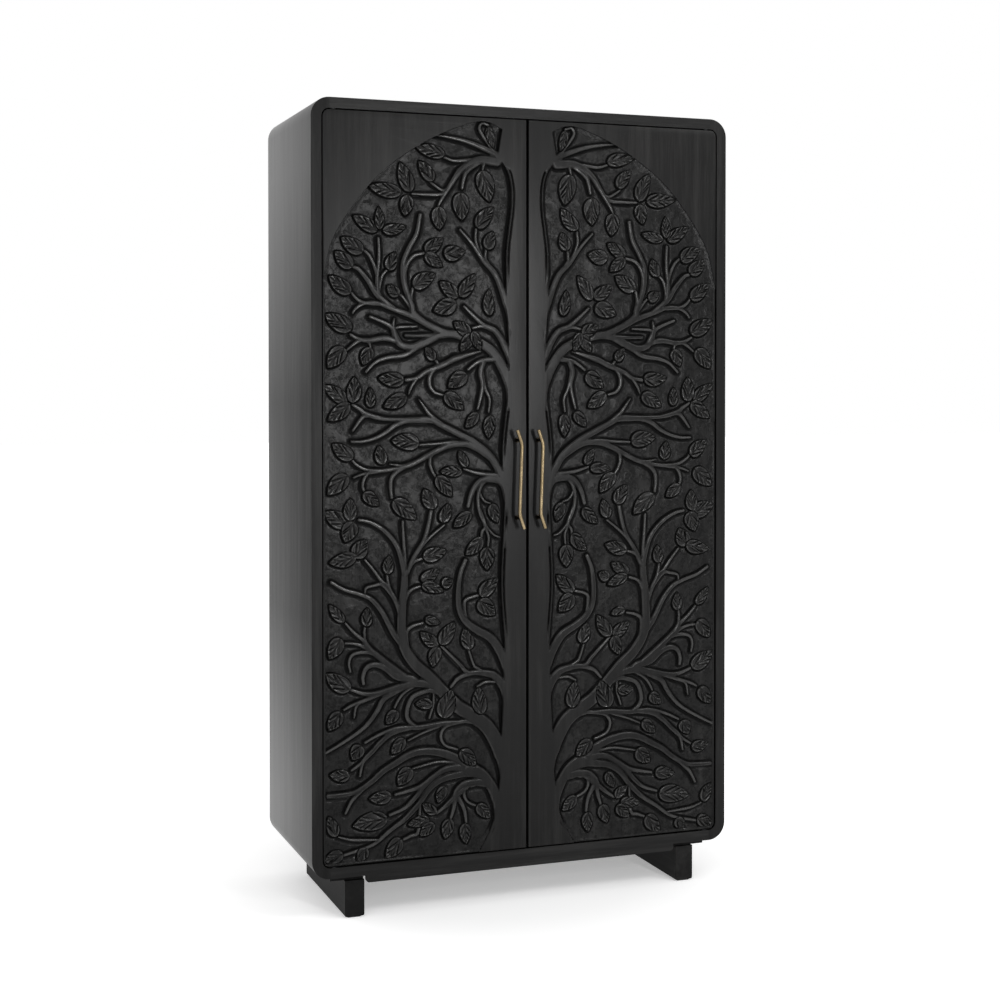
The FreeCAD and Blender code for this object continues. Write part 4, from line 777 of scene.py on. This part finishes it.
def cut_boughs():
    """Heights of trunk and boughs, the distance from both, and the distance from the boughs alone."""
    web = np.where(beside_trunk, from_trunk, -from_trunk)
    relief = DEEP * shoulder(-web, TRUNK_EDGE)
    alone = np.full(web.shape, FAR_OFF)
    for number in range(len(BOUGHS)):
        line, radii = bough(number)
        part = window(line)
        gap, radius = distance_to(line, radii, part)
        stand = TWIG_STAND + (BOUGH_STAND - TWIG_STAND) * eased(radius, 0, THICK)
        rounding = np.clip(ROUND * radius, *ROUND_LIMITS)
        relief[part] = np.maximum(relief[part], stand * shoulder(-gap, rounding))
        web[part] = webbed(gap, web[part])
        alone[part] = np.minimum(alone[part], gap)
    stand = TWIG_STAND + (DEEP - TWIG_STAND) * np.exp(-(from_trunk / TRUNK_RUN)**2)
    return np.maximum(relief, stand * shoulder(-web, WEB_EDGE)), web, alone


bough_relief, from_boughs, from_boughs_alone = cut_boughs()
print(f"{len(BOUGHS)} boughs cut, {(from_boughs > 0).mean():.0%} of the board left beside them")

# %% [markdown]
# A leaf is a low roof: each half falls away from the midrib, and its rim stands up again. Short
# V-cuts run from the midrib towards the tip, no two alike. The carver cuts around a leaf last, so it
# also bites a little into whatever lies behind it. The cut is deeper on the side that is meant to lie
# in shadow, which makes the leaf stand out. A small seeded change of angle and place for each leaf
# keeps the two doors from being perfect mirror images, as hand work never is.

# %% Leaves on the board
LEAF_RIDGE = 7.7         # the ridge's height above the deepest cut
LEAF_FALL = 3.8          # how far each half falls from the ridge
RIM_RISE = 1.5           # how far the rim stands up again
RIM_BAND = 2.4           # over this width
RIM_EDGE = 1.7           # the round of the rim
VEIN_DEPTH = 4.0
VEIN_WIDTH = 2.1
VEIN_TAPER = 0.55        # a vein loses this share of its width on its way to the rim
VEIN_SLANT = math.radians(26)
VEIN_SHARES = (0.08, 0.33, 0.57)     # where along the midrib the veins start
VEIN_END = (1.0, 2.6)    # a vein runs out between these distances from the rim
VEIN_SPREAD = 0.06       # each vein's start and slant wander by up to these shares
VEIN_SLANT_SPREAD = 0.28
VEIN_FADE = 0.4          # and it is shallower by up to this one
BITE = 3.4               # the width of the cut around a leaf,
BITE_DEPTH = 0.65        # and the share that it takes from the height of what lies behind
LIT_CUT = 4.2            # on the lit side the ground is as high as this much further out
LEAF_ANGLE_SPREAD = math.radians(4)
LEAF_PLACE_SPREAD = 1.2
LEAF_BEND_SPREAD = 0.16
OUTLINE_STEPS = 18
LEAF_TAPER = 0.8         # how a leaf narrows to its tip
LEAF_WIDEST = 0.42       # what the curve below reaches at the leaf's widest place
LEAST_EDGE = 0.1


def leaf_half_width(share):
    """A leaf's half width along its length: round at the stem, pointed at the tip, 1 at its widest."""
    share = np.clip(share, 0, 1)
    return np.sqrt(share) * (1 - share)**LEAF_TAPER / LEAF_WIDEST


def leaf_rim(length, half, bend):
    """Points around a leaf: how far each lies along the midrib from its middle, and aside from it."""
    share = (1 - np.cos(np.linspace(0, math.pi, OUTLINE_STEPS))) / 2
    sway = bend * length * (share - 0.5)**2
    reach = half * leaf_half_width(share)
    along = np.concatenate((share, share[::-1]))
    return (along - 0.5) * length, np.concatenate((sway + reach, (sway - reach)[::-1]))


def vein_cuts(along, off_rib, to_rim, length, draw):
    """How deep the midrib and the veins are cut, from 0 to 1."""
    aside = np.abs(off_rib)
    veins = np.exp(-(aside / VEIN_WIDTH)**2)
    vein_width = VEIN_WIDTH * (1 - VEIN_TAPER * to_rim)
    for start, half_leaf in itertools.product(VEIN_SHARES, (off_rib < 0, off_rib >= 0)):
        start = start + draw.uniform(-1, 1) * VEIN_SPREAD
        slant = VEIN_SLANT * (1 + draw.uniform(-1, 1) * VEIN_SLANT_SPREAD)
        strength = 1 - draw.uniform(0, 1) * VEIN_FADE
        off = ((along - start) * length - aside / math.tan(slant)) * math.sin(slant)
        veins = np.maximum(veins, half_leaf * strength * np.exp(-(off / vein_width)**2))
    return veins


def cut_leaf(relief, from_leaves, leaf, draw, shade):
    """Cut one leaf into a relief, and note the distance from it."""
    middle_across, middle_up, angle, length, width = leaf
    turn = math.radians(angle) + draw.uniform(-1, 1) * LEAF_ANGLE_SPREAD
    bend = draw.uniform(-1, 1) * LEAF_BEND_SPREAD
    middle = np.array((middle_across, middle_up)) * SQUARE + draw.uniform(-1, 1, 2) * LEAF_PLACE_SPREAD
    length, half = length * SQUARE[1], width * SQUARE[1] / 2
    way = np.array((math.cos(turn), math.sin(turn)))
    side = np.array((-way[1], way[0]))
    rim_along, rim_aside = leaf_rim(length, half, bend)
    rim = middle + np.outer(rim_along, way) + np.outer(rim_aside, side)
    part = window(rim)
    gap, _ = distance_to(rim, np.zeros(len(rim)), part)
    out_across, out_up = ACROSS[part] - middle[0], UP[part] - middle[1]
    along = (out_across * way[0] + out_up * way[1]) / length + 0.5
    off_rib = out_across * side[0] + out_up * side[1] - bend * length * (along - 0.5)**2
    aside = np.abs(off_rib)
    edge = half * leaf_half_width(along)
    inside = (along > 0) & (along < 1) & (aside < edge)
    gap = np.where(inside, -gap, gap)
    to_rim = np.clip(aside / np.maximum(edge, LEAST_EDGE), 0, 1)
    roof = LEAF_RIDGE - LEAF_FALL * to_rim + RIM_RISE * np.exp(-((gap + RIM_EDGE) / RIM_BAND)**2)
    veins = vein_cuts(along, off_rib, to_rim, length, draw) * eased(-gap, *VEIN_END)
    height = np.minimum(roof - VEIN_DEPTH * veins, DEEP) * shoulder(-gap, RIM_EDGE)
    towards_shade = out_across * shade[0] + out_up * shade[1]
    shaded = 0.5 + 0.5 * towards_shade / np.maximum(np.hypot(out_across, out_up), 1)
    behind = relief[part] * (1 - BITE_DEPTH * shaded * (1 - eased(gap, 0, BITE)))
    relief[part] = np.where(inside, height, behind)
    from_leaves[part] = np.minimum(from_leaves[part], gap + LIT_CUT * (1 - shaded))


print("leaves can be cut")

# %% [markdown]
# The ground is never flat: it is deepest beside the shapes and swells between them, and the gouge
# leaves it slightly lumpy. Smooth random hills at three sizes do that. Near the arch the ground runs
# out to the face, a low rim is left along the door's edge and foot, and along the trunk a bead stands
# between two cuts.

# %% The ground
SWELL = 4.6              # how high the ground rises between the shapes
BOUGH_CUT = (1.5, 11.0)  # it rises between these distances from a bough
LEAF_CUT = (0.5, 6.5)    # and these from a leaf
BESIDE = (0.0, 8.0)      # the runs to the arch and the foot start between these distances from a shape
BARE = (0.5, 3.0)        # and bare ground between these
ARCH_STEP = 2.2          # the drop at the arch
ARCH_RUN = 15.0          # the ground falls away from the arch over this distance
EDGE_STEP = 2.6          # the drop from the face to the rim at the door's edge
EDGE_RUN = (3.5, 11.0)   # the rim ends between these distances from the edge
BEAD_WIDTH = 7.5         # the bead along the trunk
BEAD_CUT = 5.0
BEAD_CUT_WIDTH = 1.6
BEAD_END = (10.0, 45.0)  # the bead's cut ends between these distances from a bough,
BEAD_ARCH = (40.0, 110.0)     # and between these from the arch
FOOT = (15.0, 90.0)      # below the second of these heights the cut beside the trunk grows shallow
FOOT_RUN = 20.0          # over this distance from the trunk
HILLS = ((46.0, 0.8), (17.0, 0.5), (8.0, 0.26))     # spacing and height
LIT_RISE = 5.0           # beside a bough's lit side the ground is as high as this much further out
LIT_STEPS = 6            # how much the change from the lit to the shaded side is softened
SHADE = {"left": (-0.8, -0.6), "right": (0.8, -0.6)}     # where shadows fall, across and up the board
SEEDS = {"left": 11, "right": 12}


def hills(spacing, draw):
    """Smooth random rises and falls between -1 and 1."""
    heights = draw.uniform(-1, 1, (int(HEIGHT / spacing) + 3, int(WIDTH / spacing) + 3))
    row, column = UP / spacing, ACROSS / spacing
    first_row, first_column = row.astype(int), column.astype(int)
    up = eased(row - first_row, 0, 1)
    right = eased(column - first_column, 0, 1)
    low = heights[first_row, first_column] * (1 - right) + heights[first_row, first_column + 1] * right
    high = (heights[first_row + 1, first_column] * (1 - right)
            + heights[first_row + 1, first_column + 1] * right)
    return low * (1 - up) + high * up


def softened(heights, steps):
    for _ in range(steps):
        heights = sum(np.roll(heights, step, axis) for axis in (0, 1) for step in (1, -1)) / 4
    return heights


def carve(seed, shade):
    """The whole relief of one door: heights above the deepest cut, and a mask of the bare ground."""
    draw = np.random.default_rng(seed)
    relief = bough_relief.copy()
    from_leaves = np.full(relief.shape, FAR_OFF)
    for leaf in LEAVES:
        cut_leaf(relief, from_leaves, leaf, draw, shade)
    up_slope, across_slope = np.gradient(from_boughs, up_line, across_line)
    towards_shade = np.clip(across_slope * shade[0] + up_slope * shade[1], -1, 1)
    lit = softened(0.5 - 0.5 * towards_shade, LIT_STEPS)
    swell = np.minimum(eased(from_boughs + LIT_RISE * lit, *BOUGH_CUT), eased(from_leaves, *LEAF_CUT))
    ground = SWELL * swell
    for spacing, height in HILLS:
        ground = ground + height * hills(spacing, draw) * swell
    outside = np.minimum(from_boughs, from_leaves)
    run_out = (DEEP - ARCH_STEP) * np.exp(-(from_arch / ARCH_RUN)**2) * eased(outside, *BESIDE)
    rim = (DEEP - EDGE_STEP) * (1 - eased(np.minimum(ACROSS, UP), *EDGE_RUN))
    foot = (DEEP - ARCH_STEP) * np.exp(-(from_trunk / FOOT_RUN)**2) * (1 - eased(UP, *FOOT))
    foot = foot * eased(np.minimum(from_boughs_alone, from_leaves), *BESIDE)
    carved_field = np.max((relief, ground, run_out, rim, foot), axis=0)
    bead = BEAD_CUT * np.exp(-((from_trunk - BEAD_WIDTH) / BEAD_CUT_WIDTH)**2) * eased(UP, *FOOT)
    band = relief - bead * eased(from_boughs_alone, *BEAD_END) * eased(from_arch, *BEAD_ARCH)
    relief = np.where(field, carved_field, np.where(under_arch, band, DEEP))
    return np.clip(relief, 0, DEEP), field * eased(outside, *BARE)


reliefs = {name: carve(SEEDS[name], SHADE[name]) for name in SEEDS}
for name, (relief, bare) in reliefs.items():
    print(f"{name} relief: {relief.min():.2f} to {relief.max():.2f} mm, {bare.mean():.0%} bare ground")

# %% [markdown]
# ## From heights to a door
#
# The heights become the front of a closed slab: a grid of faces in front, a strip around the edge
# and one face behind. Most of the grid's faces lie on flat wood, so a Decimate modifier melts them
# into large ones and keeps the small ones where the carving needs them. Three masks ride along on
# the points for the finish: the high edges, which are painted paler as worn wood and as a painted
# highlight; the bare ground; and the low places, which are painted matt black as pooled stain and as
# painted shade.

# %% Door meshes
MOST_FACES = 190000
SMOOTH_ANGLE = math.radians(48)
WEAR_AND_HIGHLIGHT_STEPS = 8            # how far the surroundings of an edge reach
WEAR_AND_HIGHLIGHT_EDGES = (0.45, 1.60)       # edges that stand out from their surroundings by this much are worn and painted paler as a highlight
NO_WEAR_OR_HIGHLIGHT = (1.5, 6.0)    # nearer than this to the arch or the trunk there is no wear and no painted highlight
LARGE = 40 * MM**2       # faces larger than this are flat wood, which has no masks
STAIN_AND_SHADE_HEIGHTS = (1.9, 3.9)        # below the first of these heights stain pools and shade is painted, the second is left free


def slab(name, side, relief):
    """A closed slab whose front follows the relief. Side is -1 for the left door and 1 for the right."""
    rows, columns = relief.shape
    sunk = DEEP - relief
    sunk[[0, -1], :] += ARRIS
    sunk[1:-1, [0, -1]] += ARRIS
    x = side * (OUTER - ACROSS * MM)
    y = door_low.y + sunk * MM
    z = door_low.z + (PLATE_SHOW + UP) * MM
    front = np.stack((x, y, z), axis=-1).reshape(-1, 3)
    number = np.arange(rows * columns).reshape(rows, columns)
    corners = (number[:-1, :-1], number[:-1, 1:], number[1:, 1:], number[1:, :-1])
    quads = np.stack(corners, -1).reshape(-1, 4)
    ring = np.concatenate((number[0, :-1], number[:-1, -1], number[-1, :0:-1], number[:0:-1, 0]))
    behind = front[ring].copy()
    behind[:, 1] = door_high.y
    back_ring = rows * columns + np.arange(len(ring))
    strip = np.stack((np.roll(ring, -1), ring, back_ring, np.roll(back_ring, -1)), -1)
    faces = [*quads.tolist(), *strip.tolist(), back_ring[::-1].tolist()]
    if side > 0:
        faces = [face[::-1] for face in faces]
    mesh = bpy.data.meshes.new(name)
    mesh.from_pydata(np.vstack((front, behind)), [], faces)
    return mesh


def thinned(piece):
    """Melt flat faces together until the piece has no more than the faces it is allowed."""
    triangles = sum(len(face.vertices) - 2 for face in piece.data.polygons)
    melt = piece.modifiers.new("melt", "DECIMATE")
    melt.ratio = min(1.0, MOST_FACES / triangles)
    melt.use_collapse_triangulate = True
    evaluated = piece.evaluated_get(bpy.context.evaluated_depsgraph_get())
    mesh = bpy.data.meshes.new_from_object(evaluated)
    piece.modifiers.clear()
    piece.data = mesh
    return mesh


def read(items, what, count, kind=float):
    values = np.zeros(count, kind)
    items.foreach_get(what, values)
    return values


def mark(mesh, masks):
    """Give each point of a door the values that the masks of the board have there."""
    places = read(mesh.vertices, "co", len(mesh.vertices) * 3).reshape(-1, 3)
    column = np.searchsorted(across_line, (OUTER - np.abs(places[:, 0])) / MM - SPACING / 2)
    row = np.searchsorted(up_line, (places[:, 2] - door_low.z) / MM - PLATE_SHOW - SPACING / 2)
    column, row = np.minimum(column, len(across_line) - 1), np.minimum(row, len(up_line) - 1)
    unmarked = places[:, 1] > door_low.y + (DEEP + 2 * ARRIS) * MM
    large = read(mesh.polygons, "area", len(mesh.polygons)) > LARGE
    sizes = read(mesh.polygons, "loop_total", len(mesh.polygons), int)
    corners = read(mesh.loops, "vertex_index", len(mesh.loops), int)
    unmarked[corners[np.repeat(large, sizes)]] = True
    for name, mask in masks.items():
        values = np.where(unmarked, 0, mask[row, column]).astype(np.float32)
        mesh.attributes.new(name, "FLOAT", "POINT").data.foreach_set("value", values)


carved_doors = {}
for name, side in (("left", -1), ("right", 1)):
    relief, bare = reliefs[name]
    piece = bpy.data.objects.new(f"{name}_carved_door", slab(f"{name}_carved_door", side, relief))
    bpy.context.scene.collection.objects.link(piece)
    mesh = thinned(piece)
    # High edges get a paler colour: partly worn wood, partly a painted highlight.
    rubbed = eased(relief - softened(relief, WEAR_AND_HIGHLIGHT_STEPS), *WEAR_AND_HIGHLIGHT_EDGES) * field
    rubbed = rubbed * eased(np.minimum(from_arch, from_trunk), *NO_WEAR_OR_HIGHLIGHT)
    # Low places get a matt black: partly pooled stain, partly painted shade.
    mark(mesh, {"rubbed": rubbed, "bare": bare, "pooled": 1 - eased(relief, *STAIN_AND_SHADE_HEIGHTS)})
    mesh.polygons.foreach_set("use_smooth", [True] * len(mesh.polygons))
    mesh.set_sharp_from_angle(angle=SMOOTH_ANGLE)
    piece.modifiers.new("even_shading", "WEIGHTED_NORMAL").keep_sharp = True
    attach(piece, f"{name}_leaf")
    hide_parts(f"{name}_door")
    carved_doors[name] = piece
    print(f"{piece.name}: {len(mesh.vertices)} points, {len(mesh.polygons)} faces")

# %% [markdown]
# ## The doors' finish
#
# The doors are stained like the case, then hands and polishing cloths wear the high edges: they are
# paler and shine, and the paler colour is also a painted highlight. Stain pools in the low places and
# no cloth reaches them, so they are painted a matt black, which is also painted shade. The bare ground
# keeps the marks of the gouge. They are smaller than the mesh, so they are a bump in the finish, with
# pooled stain and painted shade in the low part of each.

# %% Carved wood
# The paler colour of the high edges: worn wood and a painted highlight.
WEAR_AND_HIGHLIGHT_COLOUR = (0.032, 0.0314, 0.0305, 1)
WEAR_AND_HIGHLIGHT_SHARE = 0.8       # how much of it shows where the wear and the painted highlight are strongest
# The matt black of the low places and gouge marks: pooled stain and painted shade.
STAIN_AND_SHADE_COLOUR = (0.0012, 0.0012, 0.0012, 1)
STAIN_AND_SHADE_SHARE = 0.97      # how much pooled stain and painted shade cover the lowest places,
MARK_SHARE = 0.72        # and the marks of the gouge
GOUGES = 150.0           # marks in a metre
MARKS = (0.55, 0.43)     # below the first of these heights stain and painted shade start to fill a mark


def carved_wood():
    finish = Finish("black_wood_carved")
    streaks, pores = grain_of(finish, "z")
    rubbed, bare, low = finish.mask("rubbed"), finish.mask("bare"), finish.mask("pooled")
    gouge = finish.noise(finish.place(), scale=GOUGES, detail=3.0, roughness=0.6, distortion=1.0)
    stain = finish.ramp(tone_of(finish, streaks, pores), BLACK_STOPS)
    # High edges are painted paler: partly worn wood, partly a painted highlight.
    finish.set(Base_Color=finish.mix(rubbed * WEAR_AND_HIGHLIGHT_SHARE, stain, WEAR_AND_HIGHLIGHT_COLOUR), IOR=1.225)
    finish.set(Coat_Weight=rubbed * 0.4, Coat_Roughness=0.22, Coat_IOR=1.45)
    finish.set(Roughness=0.26 + 0.05 * streaks + 0.05 * pores - 0.05 * rubbed)
    finish.relief(streaks * 0.08 + pores * 0.2 + gouge * bare, depth=0.7 * MM, strength=0.7)
    # The low places and the gouge marks turn a matt black: partly pooled stain, partly painted shade.
    pooled = finish.add("ShaderNodeBsdfPrincipled", {}, {
        "Base Color": STAIN_AND_SHADE_COLOUR, "Roughness": 0.7, "Specular IOR Level": 0.1})
    marks = bare * finish.between(gouge, *MARKS) * MARK_SHARE
    matt_black = finish.math("MAXIMUM", low * STAIN_AND_SHADE_SHARE, marks)
    finish.end_with(finish.add("ShaderNodeMixShader", {}, {0: matt_black, 1: finish.own, 2: pooled}))
    return finish


carved = carved_wood()
for piece in carved_doors.values():
    piece.data.materials.clear()
    piece.data.materials.append(carved.material)
print("carved wood on", [piece.name for piece in carved_doors.values()])

# %% [markdown]
# ## A finish for every node
#
# The frame's other nodes keep their shape and get a finish. The names say which way a board's grain
# runs: along a panel's longest side. Sharp machined edges look unreal, so loose boards also get a
# narrow arris from modifiers: Weld joins the faces, Decimate clears the flat ones of their triangles,
# and Bevel rounds what is left. The case's own panels and corner blocks keep their edges, because
# they are glued up flush and sanded over, and an arris would open their joints.

# %% Dress the nodes
FINISHES = {
    upright_wood: ("left_side_panel", "right_side_panel", "top_left_corner", "top_right_corner",
                   "bottom_left_corner", "bottom_right_corner"),
    level_wood: ("top_panel", "bottom_panel", "front_apron"),
    deep_wood: ("left_leg", "right_leg", "left_leg_plate", "right_leg_plate"),
    inner_upright: ("lower_back_panel", "upper_back_panel", "lower_partition"),
    inner_level: ("serving_counter", "upper_shelf", "lower_shelf", "neck_cradles", "bottle_cradles",
                  "wall_fixing_rail"),
    inner_deep: ("stemware_rails",),
    pale_wood: ("corner_splines",),
    brass: ("left_pull", "right_pull"),
    black_steel: ("left_pivot_bushes", "right_pivot_bushes", "left_hinge_plates", "right_hinge_plates",
                  "left_hinge_screws", "right_hinge_screws"),
    felt: ("foot_pads",),
    plastic: ("catch_housings",),
    ferrite: ("catch_magnets",),
}
finish_of = {node: finish for finish, names in FINISHES.items() for node in names}
for name, node in nodes.items():
    node.data.materials.clear()
    node.data.materials.append(finish_of.get(name, steel).material)
print(f"{len(nodes)} nodes dressed, {len(nodes) - len(finish_of)} of them in steel")

# %% Soften the boards' edges
BOARD_ARRIS = 1.2 * MM
JOIN = 0.01 * MM         # points nearer than this are one
FLAT = math.radians(1)   # faces that turn by less than this are one
SHARP = math.radians(35)     # edges that turn by more than this get an arris
BOARDS = (deep_wood, inner_upright, inner_level, inner_deep)


def soften(node):
    node.modifiers.new("join", "WELD").merge_threshold = JOIN
    flat = node.modifiers.new("flat", "DECIMATE")
    flat.decimate_type = "DISSOLVE"
    flat.angle_limit = FLAT
    arris = node.modifiers.new("arris", "BEVEL")
    arris.width = BOARD_ARRIS
    arris.segments = 2
    arris.limit_method = "ANGLE"
    arris.angle_limit = SHARP
    arris.harden_normals = True


softened_boards = [name for finish in BOARDS for name in FINISHES[finish]] + ["front_apron"]
for name in softened_boards:
    soften(nodes[name])
print(f"{len(softened_boards)} boards softened")

# %% [markdown]
# ## The studio
#
# The armoire stands on a white floor that runs into a white background. The lamps light the object
# at a plain level, so the white can't come from them: for rays from the camera, and for those that
# a glossy surface sends on, floor and world shine white by themselves. The floor also takes some
# real light, and where the armoire blocks that light its shadow shows. The floor's own glow is weaker
# near the armoire, which deepens the shade there as painted shade, and stronger further out.

# %% Floor and world
FLOOR_SIZE = 60.0
FLOOR_GLOW = 0.32        # near the armoire
FAR_GLOW = 0.34          # what the glow gains further out, where the lamps don't reach
FAR = (0.35, 1.3)        # between these distances from the middle
WORLD_LIGHT = 0.65       # the world's strength for diffuse light


def seen_directly(graph):
    """1 for rays from the camera, from glossy surfaces and through glass, and 0 for diffuse light."""
    names = ("Is Camera Ray", "Is Glossy Ray", "Is Transmission Ray")
    camera, glossy, through = (graph.add("ShaderNodeLightPath", out=name) for name in names)
    return graph.math("MAXIMUM", graph.math("MAXIMUM", camera, glossy), through)


def pale_floor():
    finish = Finish("pale_floor")
    finish.set(Base_Color=(0.9, 0.9, 0.9, 1), Roughness=0.9, Specular_IOR_Level=0.0)
    distance = finish.add("ShaderNodeVectorMath", {"operation": "LENGTH"}, {0: finish.place()},
                          out="Value")
    # The weaker glow near the armoire is a painted shade around it.
    strength = seen_directly(finish) * (FLOOR_GLOW + FAR_GLOW * finish.between(distance, *FAR))
    glow = finish.add("ShaderNodeEmission", {}, {"Color": (1, 1, 1, 1), "Strength": strength})
    finish.end_with(finish.add("ShaderNodeAddShader", {}, {0: finish.own, 1: glow}))
    return finish


def white_world():
    world = bpy.data.worlds.new("white_world")
    world.use_nodes = True
    bpy.context.scene.world = world
    graph = Graph(world.node_tree)
    background = world.node_tree.nodes["Background"]
    graph.feed(background.inputs["Color"], (1, 1, 1, 1))
    graph.feed(background.inputs["Strength"], seen_directly(graph) * (1 - WORLD_LIGHT) + WORLD_LIGHT)


bpy.ops.mesh.primitive_plane_add(size=FLOOR_SIZE)
floor = bpy.context.object
floor.name = "floor"
floor.data.materials.append(pale_floor().material)
white_world()
print("floor and world are ready")

# %% [markdown]
# A wide softbox at the upper right gives the carving its bright upper edges. A second, tall and
# narrow, stands where the doors mirror it towards the camera, and lays a soft sheen over their upper
# middle. Two large weak lamps at the upper left and behind the left side fill the shadows.

# %% Lamps
LAMPS = {
    "above": ((1.9, -2.4, 3.2), (1.6, 0.8), 32.0),
    "strip": ((0.98, -4.03, 1.41), (0.36, 1.3), 54.0),
    "left": ((-2.4, -3.2, 4.0), (1.6, 1.6), 14.0),
    "behind": ((-3.4, 2.4, 2.6), (1.8, 1.8), 24.0),
}
AIM = Vector((0.0, 0.0, 1.0))
for name, (where, (width, height), power) in LAMPS.items():
    lamp = bpy.data.lights.new(name, "AREA")
    lamp.shape = "RECTANGLE"
    lamp.size, lamp.size_y = width, height
    lamp.energy = power
    holder = bpy.data.objects.new(name, lamp)
    holder.location = where
    holder.rotation_euler = (AIM - Vector(where)).to_track_quat("-Z", "Y").to_euler()
    bpy.context.scene.collection.objects.link(holder)
print("lamps:", list(LAMPS))

# %% [markdown]
# ## The camera
#
# The camera stands in front and to the left, a little above the middle, turned 20 degrees to the
# right. It looks down by a degree, and a small shift of the lens does the rest of the framing, which
# keeps the upright edges nearly parallel.

# %% Camera
CAMERA_PLACE = (-1.4824, -4.0270, 1.2530)
CAMERA_TURN = 0.3540
CAMERA_DIP = math.radians(0.98)
CAMERA_LENS = 61.435
CAMERA_SHIFT = -0.09
camera = bpy.data.cameras.new("camera")
camera.sensor_width = 36.0
camera.lens = CAMERA_LENS
camera.shift_y = CAMERA_SHIFT
stand = bpy.data.objects.new("camera", camera)
stand.location = CAMERA_PLACE
stand.rotation_euler = (math.pi / 2 - CAMERA_DIP, 0, -CAMERA_TURN)
bpy.context.scene.collection.objects.link(stand)
bpy.context.scene.camera = stand
bpy.context.scene.view_settings.view_transform = "Standard"
print("camera at", CAMERA_PLACE)
